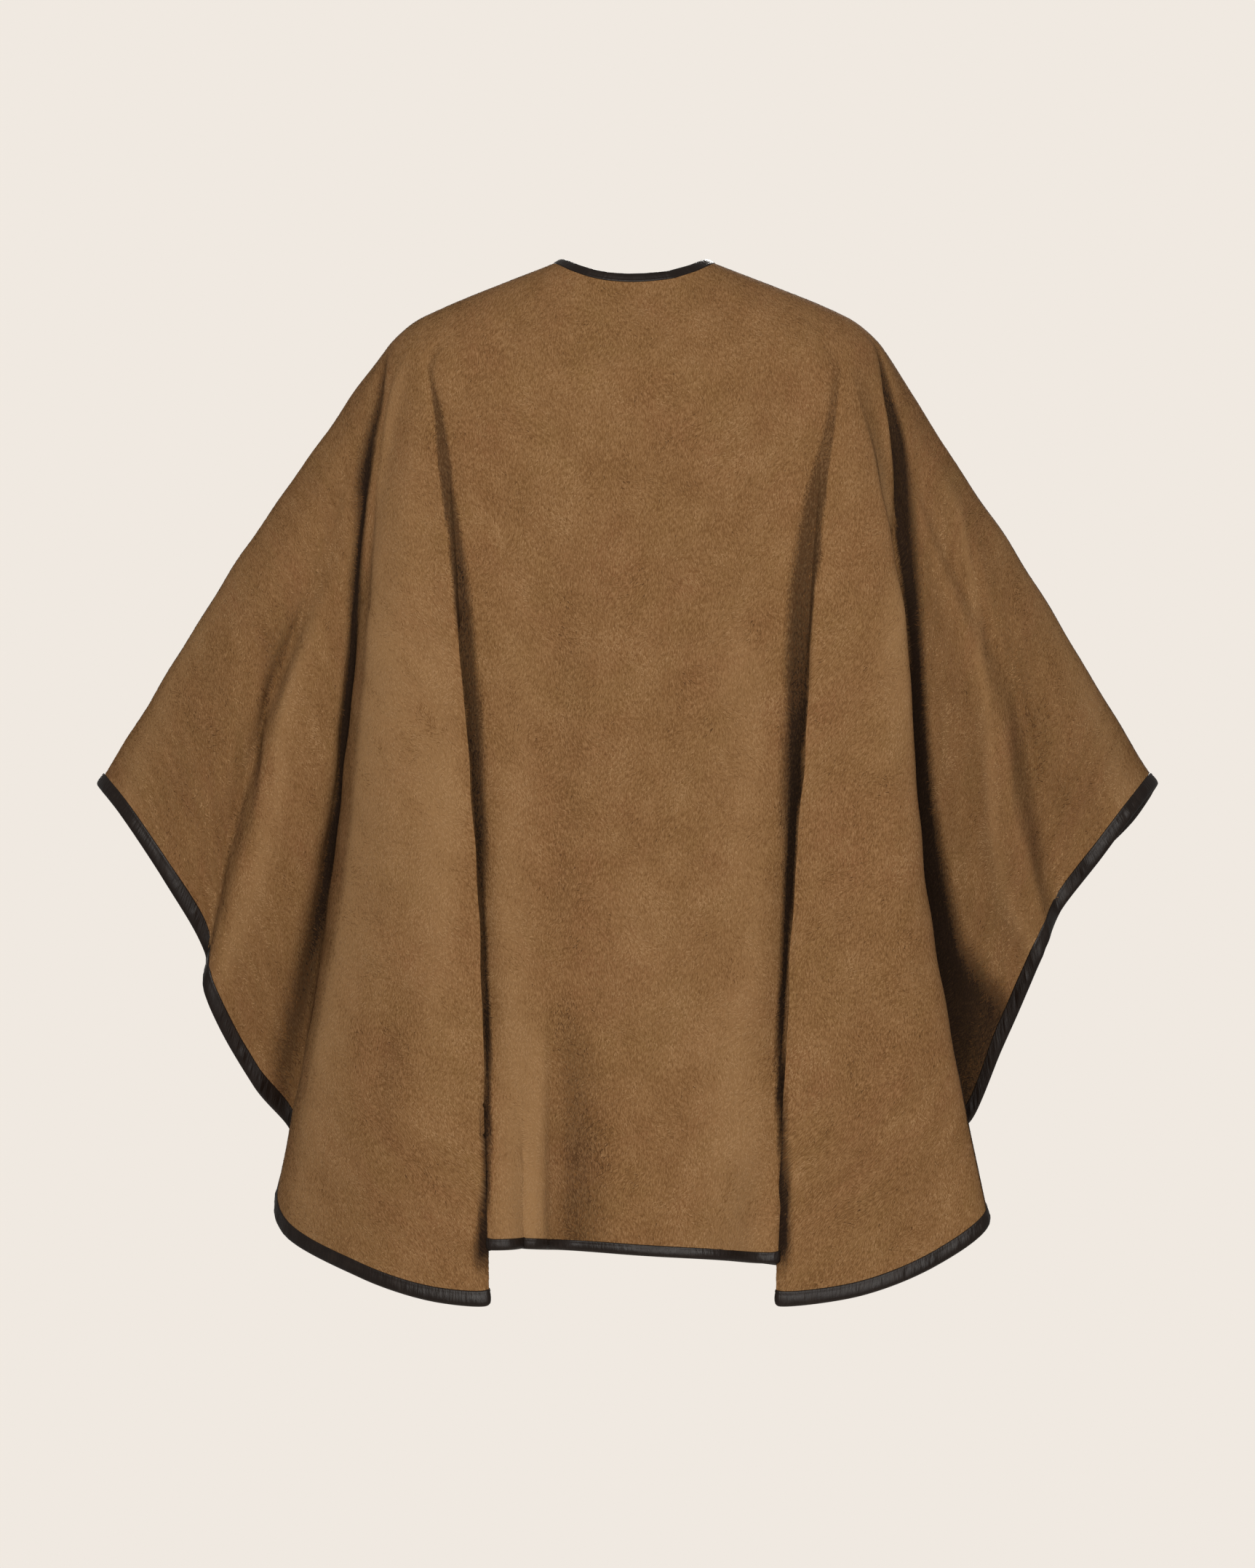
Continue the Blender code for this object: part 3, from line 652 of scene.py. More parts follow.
@dataclass
class Drape:
    """The whole cloth as one surface, read by place across it and by distance down it."""

    neck_half_width: float = 67.0
    neck_back: float = 62.0
    neck_front: float = 70.0
    nape_drop: float = 18.0
    throat_drop: float = 75.0
    ring_half_width: float = 234.0
    ring_back: float = 118.0
    ring_front: float = 104.0
    ring_arm_drop: float = 83.0
    ring_body_drop: float = 148.0
    shoulder_lift: float = 10.5
    oval_power: float = 0.8
    arm_rise_power: float = 2.5
    front_parting: float = 6.0
    shoulder_at: float = 0.112
    ring_at: float = 0.14
    shoulder_share: float = 0.79
    chest_share: float = 0.30
    waist_share: float = 0.62
    dense_rows: int = 241
    lap_opens: float = 8.0
    lap_lead: float = 10.0
    lap_reach: float = 9.0
    kick_from: float = 0.74
    normal_step: float = 0.02
    strip: float = 12.0  # width of the leather along the hem and the fronts
    seam_share: float = 0.35  # how far in front of the arm line the shoulder seam runs
    coarse_facet: float = 36.0
    steepest_sine: float = 0.45
    hem_rows: int = 3
    easing: tuple[float, ...] = (1.0, 2.0, 3.0, 2.0, 1.0)
    neck_radius: float = 78.0  # of the neck's curve in the flat cut cloth
    swell: float = 1.1  # height of the cloth's broad unevenness
    swell_longest: float = 260.0
    swell_shortest: float = 60.0
    seam_sink: float = 0.8
    seam_width: float = 5.0
    easing_rows: int = 17  # over which a crease's stops run into one another
    edge_ramp: float = 0.45  # ribs past a folded edge at which its gutter is full
    band_start: float = 1.5  # over which a gutter's band of painted shadow starts
    band_end: float = 0.28  # of its width, to both sides, over which it ends
    widest_end: float = 26.0  # the width from which the end grows no softer
    tuck_end: float = 0.50  # the same for the painted shadow beside the edge on the upper layer
    sunk_lines: float = 4.0  # past the lap's own, that lie deeper beside the edge
    lifted_lines: float = 2.0  # the lap's last, over which a lower layer rises instead
    folded_start: float = -0.5  # a band that starts before this one may cross the edge
    unfolded_lines: float = 4.0  # before an edge that isn't folded yet, that its band may cross
    unfolded_until: float = 0.45  # of the way down, by which every edge is folded
    covered_lines: float = 7.0  # past the lap's own, that a band may cross
    inside_reach: float = 3.0  # how far under the edge the hidden cloth carries painted shade
    inside_shade: float = 0.6
    crisp_rows: int = 5  # the easing of the painted shadow beside the edge
    fine_boost: float = 1.7  # how much closer columns stand in the fine places
    fine_ramp: float = 0.5  # ribs over which they come closer
    probes: int = 6001  # places at which the hem's length is measured
    swell_turn: float = 0.3  # which uneven swell it is
    swell_from: float = 0.25  # of the way down, by which it has its whole height
    stations: np.ndarray = field(init=False)  # shares at which a rib's points stand
    share: np.ndarray = field(init=False)  # of the length, for each dense row
    ribs: np.ndarray = field(init=False)
    marks: dict[str, int] = field(init=False)  # number of each named rib
    knots: np.ndarray = field(init=False)
    arc: np.ndarray = field(init=False)  # distance across, at each rib and row
    hem_chord: np.ndarray = field(init=False)  # from each rib to the next, at the hem
    length: float = field(init=False)
    slant_at: np.ndarray = field(init=False)
    slant: np.ndarray = field(init=False)
    spans: dict[Side, tuple[float, float]] = field(init=False)
    front_strips: dict[Side, tuple[float, float]] = field(init=False)

    def __post_init__(self) -> None:
        """Work out the ribs and what is measured from them."""
        self.stations = np.array([
            0.0,
            self.shoulder_at,
            self.ring_at,
            self.ring_at + self.chest_share * (1.0 - self.ring_at),
            self.ring_at + self.waist_share * (1.0 - self.ring_at),
            1.0,
        ])
        self.share = np.linspace(0.0, 1.0, self.dense_rows)
        self.ribs, self.marks = self._ribs()
        last = len(self.ribs) - 1.0
        left_seam = self.marks["left_arm"] - self.seam_share
        right_seam = self.marks["right_arm"] + self.seam_share
        self.spans = {
            Side.LEFT: (1.0, left_seam),
            Side.BACK: (left_seam, right_seam),
            Side.RIGHT: (right_seam, last - 1.0),
        }
        self.front_strips = {Side.LEFT: (0.0, 1.0), Side.RIGHT: (last - 1.0, last)}
        chord = np.linalg.norm(np.diff(self.ribs, axis=0), axis=2)
        self.knots = np.concatenate([0.0 * chord[:1], np.cumsum(np.sqrt(chord), axis=0)])
        self.arc = walked(self.ribs)
        self.hem_chord = chord[:, -1]
        self.length = -self.ribs[:, :, 2].min()
        self.slant_at, self.slant = self._hem_slant()

    def _oval(self, bearing: float, half_width: float, back: float, front: float) -> tuple[float, float]:
        """Plan position on a rounded oval; bearings up to 180 lie behind the shoulders.

        Args:
            bearing: degrees round the shoulders.
            half_width: towards the arms.
            back: depth behind.
            front: depth before.

        Returns:
            x and y.
        """
        across, along = math.cos(math.radians(bearing)), math.sin(math.radians(bearing))
        depth = back if along > 0 else front
        return (
            -math.copysign(half_width * abs(across) ** self.oval_power, across),
            -math.copysign(depth * abs(along) ** self.oval_power, along),
        )

    def _neck(self, bearing: float) -> np.ndarray:
        """The neck's edge at a bearing.

        Args:
            bearing: degrees round the shoulders.

        Returns:
            The point.
        """
        x, y = self._oval(bearing, self.neck_half_width, self.neck_back, self.neck_front)
        drop = self.nape_drop
        if bearing > 180.0:
            drop = self.throat_drop
            x = max(x, self.front_parting)
        return np.array([x, y, -drop * math.sin(math.radians(bearing)) ** 2])

    def _ring(self, bearing: float) -> np.ndarray:
        """Where the cloth leaves the shoulders at a bearing.

        Args:
            bearing: degrees round the shoulders.

        Returns:
            The point.
        """
        x, y = self._oval(bearing, self.ring_half_width, self.ring_back, self.ring_front)
        rise = abs(math.cos(math.radians(bearing))) ** self.arm_rise_power
        drop = self.ring_body_drop - (self.ring_body_drop - self.ring_arm_drop) * rise
        return np.array([x, y, -drop])

    def _curve(self, rib: Rib) -> np.ndarray:
        """Points down one rib, from the neck to the hem.

        Args:
            rib: its row of the table.

        Returns:
            The dense points.
        """
        neck, ring = self._neck(rib.bearing), self._ring(rib.bearing)
        chord = unit(ring - neck)
        outward = unit(ring * (1.0, 1.0, 0.0))
        bulge = unit(outward - chord * outward.dot(chord)) * self.shoulder_lift
        fall = rib.hem_drop + ring[2]
        stations = np.array([
            neck,
            neck + (ring - neck) * self.shoulder_share + bulge,
            ring,
            (rib.chest_x, -rib.chest_depth, ring[2] - self.chest_share * fall),
            (rib.waist_x, -rib.waist_depth, ring[2] - self.waist_share * fall),
            (rib.hem_x, -rib.hem_depth, -rib.hem_drop),
        ])
        place = np.interp(self.share, self.stations, range(len(self.stations)))
        return spline(stations, self.stations, place, taut=True)

    def _lap(self, edge: np.ndarray, beyond: np.ndarray, lap: Lap) -> list[np.ndarray]:
        """The lines that carry the cloth from a folded edge to the layer beneath it.

        Args:
            edge: dense points of the folded edge.
            beyond: those of the next rib.
            lap: its row.

        Returns:
            The lines, from the edge on.
        """
        reach = beyond - edge
        length = np.linalg.norm(reach, axis=1, keepdims=True)
        flat_step = reach / length * np.minimum(length / (len(LAP_LINES) + 1.0), self.lap_reach)
        toward = np.sign(reach[:, 0].mean())
        last = LAP_LINES[-1]
        shift = np.minimum(toward * reach[:, 0] - self.lap_lead - last.past, 0.0)
        gap = beyond[:, 1] - edge[:, 1]
        folded = smooth((gap - self.lap_opens) / (lap.full_gap - self.lap_opens))
        turned = smooth((self.share - self.kick_from) / (1.0 - self.kick_from)) * (lap.kick > 0.0)
        curves = []
        for count, line in enumerate(LAP_LINES, start=1):
            past = line.past - line.back * lap.width * folded
            past = past + shift * (count - 1) / (len(LAP_LINES) - 1)
            turned_past = line.turned_past + line.turned_kick * lap.kick
            turned_past = turned_past - line.turned_back * lap.width
            depth = line.depth * gap
            turned_depth = line.turned_depth * gap + line.turned_layer
            offset = np.stack([
                toward * (past + (turned_past - past) * turned),
                depth + (turned_depth - depth) * turned,
                reach[:, 2] * line.drop,
            ], axis=1)
            part = folded[:, None]
            curves.append(edge + flat_step * count * (1.0 - part) + offset * part)
        return curves

    def _ribs(self) -> tuple[np.ndarray, dict[str, int]]:
        """Every line of the sheet, from the left front edge round the back to the right.

        Returns:
            The dense lines and the number of each named one.
        """
        mirror = np.array([-1.0, 1.0, 1.0])
        fronts = [self._curve(rib) for rib in FRONT_RIBS]
        back = [self._curve(rib) for rib in BACK_RIBS]
        laps = {lap.rib: lap for lap in LAPS}
        fronts.insert(1, fronts[0] + unit(fronts[1] - fronts[0]) * self.strip)
        names = [FRONT_RIBS[0].name, "strip"] + [rib.name for rib in FRONT_RIBS[1:]]
        curves = [curve * mirror for curve in fronts]
        marks = {f"left_front_{name}": index for index, name in enumerate(names)}
        for index, rib in enumerate(BACK_RIBS):
            lap = laps.get(rib.name)
            hidden = self._lap(back[index], back[index + lap.toward], lap) if lap else []
            if lap and lap.toward < 0:
                curves += hidden[::-1]
                hidden = []
            marks[rib.name] = len(curves)
            curves.append(back[index])
            curves += hidden
        last = len(curves) + len(fronts) - 1
        marks.update({f"right_front_{name}": last - index for index, name in enumerate(names)})
        curves += fronts[::-1]
        return np.array(curves), marks

    def _hem_slant(self) -> tuple[np.ndarray, np.ndarray]:
        """Length along a column for every millimetre of distance from the hem.

        Returns:
            Places across the sheet and the lengths there.
        """
        found_at, found = [], []
        easing = np.array(self.easing) / sum(self.easing)
        pad = len(easing) // 2
        for side in Side:
            places = self.places(*self.spans[side], self.coarse_facet)
            points = self.loft(places)
            down = unit(points[-1] - points[-1 - self.hem_rows])
            along = unit(np.gradient(points[-1], axis=0))
            sine = np.linalg.norm(np.cross(down, along), axis=1)
            slant = 1.0 / np.maximum(sine, self.steepest_sine)
            found.append(np.convolve(np.pad(slant, pad, mode="edge"), easing, mode="valid"))
            found_at.append(places)
        return np.concatenate(found_at), np.concatenate(found)

    def places(self, start: float, end: float, facet: float) -> np.ndarray:
        """Places across the sheet from start to end, with no facet longer than given.

        Args:
            start: the first place.
            end: the last place.
            facet: its most millimetres.

        Returns:
            The places.
        """
        found = [start]
        for rib in range(int(np.floor(start)), int(np.ceil(end))):
            first, last = max(start, rib), min(end, rib + 1)
            length = self.hem_chord[rib] * (last - first)
            count = max(1 if length < facet / 3 else 2, int(np.ceil(length / facet)))
            found += list(np.linspace(first, last, count + 1)[1:])
        return np.array(found)

    def spread(self, start: float, end: float, step: float) -> np.ndarray:
        """Places from start to end, spaced along the hem and closer at crisp folds.

        Args:
            start: the first place.
            end: the last place.
            step: spacing in millimetres away from those folds.

        Returns:
            The places.
        """
        dense = np.linspace(start, end, self.probes)
        hem = self.loft(dense)[-1]
        boost = np.ones(len(dense))
        for rib, first, last in FINE:
            middle = self.marks[rib] + (first + last) / 2.0
            apart = np.abs(dense - middle) - (last - first) / 2.0
            boost = np.maximum(boost, 1.0 + self.fine_boost * smooth(1.0 - apart / self.fine_ramp))
        chord = np.linalg.norm(np.diff(hem, axis=0), axis=1) * boost[1:]
        length = np.concatenate([[0.0], np.cumsum(chord)])
        count = int(math.ceil(length[-1] / step)) + 1
        places = np.interp(np.linspace(0.0, length[-1], count), length, dense)
        for lap in LAPS:
            if start < self.marks[lap.rib] < end:
                places[np.abs(places - self.marks[lap.rib]).argmin()] = self.marks[lap.rib]
        return places

    def _arc_at(self, places: np.ndarray, rows: np.ndarray) -> np.ndarray:
        """Distance across the sheet at each place on each row.

        Args:
            places: places across, for each row.
            rows: the rows' numbers.

        Returns:
            Distances in millimetres.
        """
        index = np.clip(np.floor(places).astype(int), 0, len(self.arc) - 2)
        part = places - index
        return self.arc[index, rows] * (1.0 - part) + self.arc[index + 1, rows] * part

    def _eased(self, stops: Sequence[Any], values: Sequence[float], rows: int) -> np.ndarray:
        """Values eased down the dense rows between some stops, as a column.

        Args:
            stops: where the values hold.
            values: one for each stop.
            rows: over how many of them a change is eased.

        Returns:
            The column.
        """
        plain = np.interp(self.share, [stop.share for stop in stops], values)
        window = np.hanning(rows + 2)[1:-1]
        padded = np.pad(plain, rows // 2, mode="edge")
        return np.convolve(padded, window / window.sum(), mode="valid")[:, None]

    def _read(self, stops: Sequence[Any], names: str, rows: int) -> list[np.ndarray]:
        """The stops' values of some names, eased as above."""
        rows_of = [[getattr(stop, name) for stop in stops] for name in names.split()]
        return [self._eased(stops, values, rows) for values in rows_of]

    def _begun(self, stops: Sequence[Any], values: np.ndarray) -> np.ndarray:
        """The values, but nothing above the first of the stops."""
        return np.where(self.share[:, None] < stops[0].share, 0.0, values)

    def _creases(self, across: np.ndarray) -> tuple[np.ndarray, np.ndarray]:
        """Heights and painted shades of the creases, from the distance across at each row and place.

        Args:
            across: the distances.

        Returns:
            Heights in millimetres and painted shades, for each distance.
        """
        rows = np.arange(self.dense_rows)[:, None]
        height, shade = np.zeros(across.shape), np.zeros(across.shape)
        for crease in CREASES:
            stops = [Stop(*row) for row in crease.rows]
            places = [self.marks[stop.rib] + stop.past for stop in stops]
            middle = self._eased(stops, places, self.easing_rows)
            strength, before, after = self._read(stops, "strength before after", self.easing_rows)
            apart = across - self._arc_at(middle, rows)
            form = np.exp(-((apart / np.where(apart < 0.0, before, after)) ** 2))
            form = self._begun(stops, strength) * form
            height += crease.lift * form
            shade += crease.shade * form
        return height, shade

    def _gutters(self, places: np.ndarray, loft: np.ndarray) -> tuple[np.ndarray, np.ndarray]:
        """How much deeper the cloth lies beside the folded edges, and the shadow painted there.

        Args:
            places: places across the sheet.
            loft: dense points of the loft at those places.

        Returns:
            Depths in millimetres and painted shades; axes are row, place.
        """
        depth, shade = np.zeros(loft.shape[:2]), np.zeros(loft.shape[:2])
        lines = len(LAP_LINES)
        for lap in LAPS:
            edge = self.marks[lap.rib]
            stops = [LapStop(*row) for row in lap.rows]
            names = "sink span start reach shade"
            sink, span, start, reach, dark = self._read(stops, names, self.easing_rows)
            tuck, tuck_dark = self._read(stops, "tuck tuck_shade", self.crisp_rows)
            beyond = lap.toward * (places - edge)
            past = lap.toward * (loft[..., 0] - self.ribs[edge][:, 0][:, None])
            lower = (beyond > 0.0) & (beyond < lines + self.sunk_lines)
            ramp = smooth(beyond / self.edge_ramp) * lower
            lifted = smooth(beyond - lines + self.lifted_lines) * lower
            fade = np.exp(-((np.maximum(past, 0.0) / span) ** 2))
            depth += sink * fade * np.where(sink > 0.0, ramp, lifted)
            unfolded = (start < self.folded_start) & (self.share[:, None] < self.unfolded_until)
            first = np.where(unfolded, -self.unfolded_lines, 0.0)
            # painted shadow in a band past the folded edge
            band = smooth((past - start) / self.band_start)
            soft = self.band_end * np.minimum(reach - start, self.widest_end)
            band = band * (1.0 - smooth((past - reach + soft) / (2.0 * soft)))
            band = band * (beyond > first) * (beyond < lines + self.covered_lines)
            shade += self._begun(stops, dark) * band
            # painted shade on the hidden cloth under the edge
            hidden = (beyond > 0.0) & (beyond < lines)
            shade += self.inside_shade * smooth(-past / self.inside_reach) * hidden
            # painted shadow on the upper layer, back from its edge
            upper = (beyond > -self.unfolded_lines) & (beyond < 1.0)
            soft = self.tuck_end * tuck
            shade += tuck_dark * (1.0 - smooth((-past - tuck + soft) / (2.0 * soft))) * upper
        return depth, shade

    def _relief(self, places: np.ndarray, loft: np.ndarray) -> tuple[np.ndarray, np.ndarray, np.ndarray]:
        """How far the cloth stands out from its loft, and the shade painted on its nap.

        Args:
            places: places across the sheet.
            loft: dense points of the loft at those places.

        Returns:
            Heights, depths towards the front, and painted shades; axes are row, place.
        """
        rows = np.arange(self.dense_rows)[:, None]
        across = self._arc_at(np.broadcast_to(places, (self.dense_rows, len(places))), rows)
        height, shade = self._creases(across)
        depth, gutter_shade = self._gutters(places, loft)
        swell = waves(loft, self.swell_longest, self.swell_shortest, self.swell_turn)
        height = height + self.swell * smooth(self.share[:, None] / self.swell_from) * swell
        for seam in self.spans[Side.BACK]:
            apart = across - self._arc_at(np.full((1, 1), seam), rows)
            height = height - self.seam_sink * np.exp(-((apart / self.seam_width) ** 2))
        return height, depth, shade + gutter_shade

    def _flat(self, points: np.ndarray, places: np.ndarray) -> tuple[np.ndarray, np.ndarray]:
        """Where dense columns lie on the flat cut cloth, and each one's angle from its grain.

        The grain of the back runs down its middle, and that of a front down its front edge. These
        positions carry the nap's patterns: distances along each row and down each column are true.

        Args:
            points: dense columns of one panel.
            places: the columns' places across the sheet.

        Returns:
            The flat positions and the angles in radians.
        """
        reach = walked(points) + self.neck_radius
        hem = np.interp(places, np.arange(len(self.arc)), self.arc[:, -1])
        left, right = self.spans[Side.BACK]
        panel = places.mean()
        start = self.arc[self.marks["back_middle"], -1]
        if panel < left:
            start = self.arc[0, -1]
        elif panel > right:
            start = self.arc[-1, -1]
        turn = (hem - start) / (self.length + self.neck_radius)
        across = walked(points, axis=1)
        middle = int(np.abs(hem - start).argmin())
        flat = np.stack([across - across[:, middle:middle + 1], -reach], axis=2)
        return flat, turn

    def loft(self, places: np.ndarray) -> np.ndarray:
        """Dense points down the loft at each place across."""
        return spline(self.ribs, self.knots, places).transpose(1, 0, 2)

    def columns(self, places: np.ndarray) -> Patch:
        """Dense columns with their creases.

        Args:
            places: places across the sheet.

        Returns:
            The columns.
        """
        places = np.asarray(places, dtype=float)
        stack = []
        for shift in (0.0, self.normal_step, -self.normal_step):
            beside = places + shift
            loft = self.loft(beside)
            across = self.loft(beside + self.normal_step) - self.loft(beside - self.normal_step)
            normal = unit(np.cross(np.gradient(loft, axis=0), across))
            height, depth, shade = self._relief(beside, loft)
            stack.append((loft + normal * height[..., None] + depth[..., None] * FORWARD, shade))
        (points, shade), (after, _), (before, _) = stack
        flat, turn = self._flat(points, places)
        across = after - before
        normals = unit(np.cross(np.gradient(points, axis=0), across))
        return Patch(points, normals, flat, shade[..., None], turn)

    def cut(self, places: np.ndarray, top: float, hem: float | np.ndarray, rows: int) -> Patch:
        """A grid between two distances from the sheet's ends.

        Args:
            places: places across the sheet.
            top: millimetres below the neck's edge where it starts.
            hem: millimetres above the hem where it ends, square to it; one or one for each place.
            rows: facets down it.

        Returns:
            The grid.
        """
        dense = self.columns(places)
        length = walked(dense.points)
        slant = np.interp(places, self.slant_at, self.slant) * hem
        source = np.concatenate([dense.points, dense.normals, dense.flat, dense.shade], axis=2)
        found = np.zeros((rows + 1, len(places), source.shape[2]))
        for column in range(len(places)):
            end = length[-1, column] - slant[column]
            reads = np.linspace(top, end, rows + 1)
            for axis in range(source.shape[2]):
                found[:, column, axis] = np.interp(reads, length[:, column], source[:, column, axis])
        return Patch(
            found[..., :3], unit(found[..., 3:6]), found[..., 6:8], found[..., 8:], dense.turn
        )


# ---- shader tools

class Value:
    """A shader value whose operators add Math nodes, or Vector Math nodes on vectors."""

    def __init__(self, shader: "Shader", socket: bpy.types.NodeSocket) -> None:
        """Wrap an output socket."""
        self.shader = shader
        self.socket = socket

    def _math(self, operation: str, *values: Any) -> "Value":
        """A Math node on some values.

        Args:
            operation: what it does.
            values: values or numbers.

        Returns:
            The result.
        """
        vector = any(isinstance(value, Value) and value.socket.type == "VECTOR" for value in values)
        kind = "ShaderNodeVectorMath" if vector else "ShaderNodeMath"
        return self.shader.add(kind, {"operation": operation}, dict(enumerate(values)))

    def __add__(self, other: Any) -> "Value":
        """The sum."""
        return self._math("ADD", self, other)

    __radd__ = __add__

    def __sub__(self, other: Any) -> "Value":
        """The difference."""
        return self._math("SUBTRACT", self, other)

    def __rsub__(self, other: Any) -> "Value":
        """The difference from a number."""
        return self._math("SUBTRACT", other, self)

    def __mul__(self, other: Any) -> "Value":
        """The product."""
        return self._math("MULTIPLY", self, other)

    __rmul__ = __mul__


class Shader:
    """A material, its Principled BSDF and the nodes that feed it."""

    def __init__(self, name: str) -> None:
        """Start a material with an untouched Principled BSDF.

        Args:
            name: the material's name.
        """
        self.material = bpy.data.materials.new(name)
        self.material.use_nodes = True
        self.nodes = self.material.node_tree.nodes
        self.links = self.material.node_tree.links
        self.surface = self.nodes["Principled BSDF"]

    def put(self, socket: bpy.types.NodeSocket, value: Any) -> None:
        """Link a value to an input, or set the input to a plain one.

        Args:
            socket: the input.
            value: a value, or a number, vector or colour.
        """
        if isinstance(value, Value):
            self.links.new(value.socket, socket)
        elif socket.type == "VECTOR" and isinstance(value, (int, float)):
            socket.default_value = (value, value, value)
        else:
            socket.default_value = value

    def add(self, kind: str, settings: dict[str, Any], values: dict[Any, Any], output: Any = 0) -> Value:
        """Add a node.

        Args:
            kind: the node's type.
            settings: its properties, which are set first.
            values: values or links by input name or number.
            output: name or number of the output to give back.

        Returns:
            The node's output.
        """
        node = self.nodes.new(kind)
        for name, setting in settings.items():
            setattr(node, name, setting)
        for name, value in values.items():
            self.put(node.inputs[name], value)
        return Value(self, node.outputs[output])

    def finish(self, **values: Any) -> bpy.types.Material:
        """Set the Principled BSDF's inputs, named with underscores for spaces.

        Args:
            values: a value, number or colour for each input.

        Returns:
            The material.
        """
        for name, value in values.items():
            self.put(self.surface.inputs[name.replace("_", " ")], value)
        return self.material

    def place(self, kind: str) -> Value:
        """The place on the piece's own UV map, which is in metres, or in the object."""
        return self.add("ShaderNodeTexCoord", {}, {}, kind)

    def mask(self, value: Value, low: float, high: float, eased: bool = True) -> Value:
        """0 at the low value and 1 at the high one.

        Args:
            value: what is masked.
            low: where the mask is 0.
            high: where it is 1.
            eased: whether it starts and ends softly.

        Returns:
            The mask.
        """
        settings = {"interpolation_type": "SMOOTHSTEP" if eased else "LINEAR"}
        values = {"Value": value, "From Min": low, "From Max": high}
        if low > high:
            values.update({"From Min": high, "From Max": low, "To Min": 1.0, "To Max": 0.0})
        return self.add("ShaderNodeMapRange", settings, values)

    def noise(self, vector: Value, scale: float, detail: float, output: str = "Fac") -> Value:
        """Noise of a scale, from a vector."""
        values = {"Vector": vector, "Scale": scale, "Detail": detail}
        return self.add("ShaderNodeTexNoise", {}, values, output)

    def stretch(self, vector: Value, across: float, down: float) -> Value:
        """A vector scaled so that cells of that size, in metres, become one unit."""
        return vector * (1.0 / across, 1.0 / down, 1.0)

    def mix(self, factor: Any, first: Any, second: Any) -> Value:
        """A mix of two colours, put in by number because a Mix node's sockets share their names."""
        values = {0: factor, 6: first, 7: second}
        return self.add("ShaderNodeMix", {"data_type": "RGBA"}, values, 2)

    def bump(self, height: Value, distance: float) -> Value:
        """A normal bent by a height."""
        return self.add("ShaderNodeBump", {}, {"Height": height, "Distance": distance}, "Normal")


def rgba(red: float, green: float, blue: float) -> tuple[float, float, float, float]:
    """An opaque colour."""
    return red, green, blue, 1.0


@dataclass(frozen=True)
class Tint:
    """A colour that a pattern brings in."""

    color: tuple
    begins: float  # value of the pattern where the colour begins
    whole: float  # and where it has its whole share
    most: float  # that share
    scale: float = 0.0  # of the pattern, where it is a mottle of its own


@dataclass(frozen=True)
class WoolFinish:
    """Brushed double wool: swirling streaks of nap over a warm brown ground, with painted highlights and
    painted shade.
    """

    name: str = "wool_cloth"
    ground: tuple = rgba(0.186, 0.0950, 0.0368)
    mottles: tuple[Tint, ...] = (
        Tint(rgba(0.190, 0.0870, 0.0368), 0.38, 0.64, 0.70, 9.0),  # redder
        Tint(rgba(0.180, 0.0980, 0.0350), 0.60, 0.36, 0.60, 15.3),  # olive
        Tint(rgba(0.215, 0.1130, 0.0470), 0.36, 0.66, 0.60, 45.0),  # worn
    )
    streaks: tuple[Tint, ...] = (
        Tint(rgba(0.105, 0.0480, 0.0160), 0.52, 0.30, 0.80),  # painted shade deep between the fibres
        Tint(rgba(0.280, 0.1600, 0.0740), 0.48, 0.70, 0.80),  # their tips
    )
    # painted highlight where the stored shade is below plain, on crests and rims
    crest: Tint = Tint(rgba(0.255, 0.1430, 0.0620), 0.50, 0.0, 1.0)
    # painted shade, near black, where the stored shade is high: gutters, creases and hidden cloth
    gutter: Tint = Tint(rgba(0.014, 0.0075, 0.0042), 0.53, 1.0, 1.0)
    fibre: tuple[float, float] = (0.0012, 0.0038)  # metres across and down
    lock: tuple[float, float] = (0.0028, 0.0080)
    fibre_share: float = 0.78
    lock_share: float = 0.22
    ragged: float = 0.24  # how far the streaks break up the rim of the painted shade
    swirl_scale: float = 16.0
    swirl: float = 0.022
    relief: float = 0.0007

    def _streak(self, shader: Shader, uv: Value) -> Value:
        """The nap's streaks, swirling over the cloth.

        Args:
            shader: the cloth's shader.
            uv: its places.

        Returns:
            Values of about 0.3 to 0.7.
        """
        turn = shader.noise(uv, self.swirl_scale, 1.0, "Color")
        plain = {0: turn, 1: (0.5, 0.5, 0.5)}
        around = shader.add("ShaderNodeVectorMath", {"operation": "SUBTRACT"}, plain)
        bent = uv + around * (self.swirl, self.swirl, 0.0)
        fibre = shader.noise(shader.stretch(bent, *self.fibre), 1.0, 2.0)
        lock = shader.noise(shader.stretch(bent, *self.lock), 1.0, 3.0)
        return fibre * self.fibre_share + lock * self.lock_share

    def material(self) -> bpy.types.Material:
        """The cloth's material.

        Returns:
            The material.
        """
        shader = Shader(self.name)
        uv = shader.place("UV")
        streak = self._streak(shader, uv)
        shade = shader.add("ShaderNodeAttribute", {"attribute_name": "shade"}, {}, "Fac")
        color = self.ground
        for tint in self.mottles:
            share = shader.mask(shader.noise(uv, tint.scale, 3.0), tint.begins, tint.whole)
            color = shader.mix(share * tint.most, color, tint.color)
        # the stored shade brings in the painted highlight and the painted shade
        broken = shade - streak * self.ragged + self.ragged / 2.0
        patterns = (streak, streak, shade, broken)
        for pattern, tint in zip(patterns, (*self.streaks, self.crest, self.gutter)):
            share = shader.mask(pattern, tint.begins, tint.whole, eased=False)
            color = shader.mix(share * tint.most, color, tint.color)
        return shader.finish(
            Base_Color=color,
            Roughness=0.95,
            Specular_IOR_Level=0.08,
            Normal=shader.bump(streak, self.relief),
        )


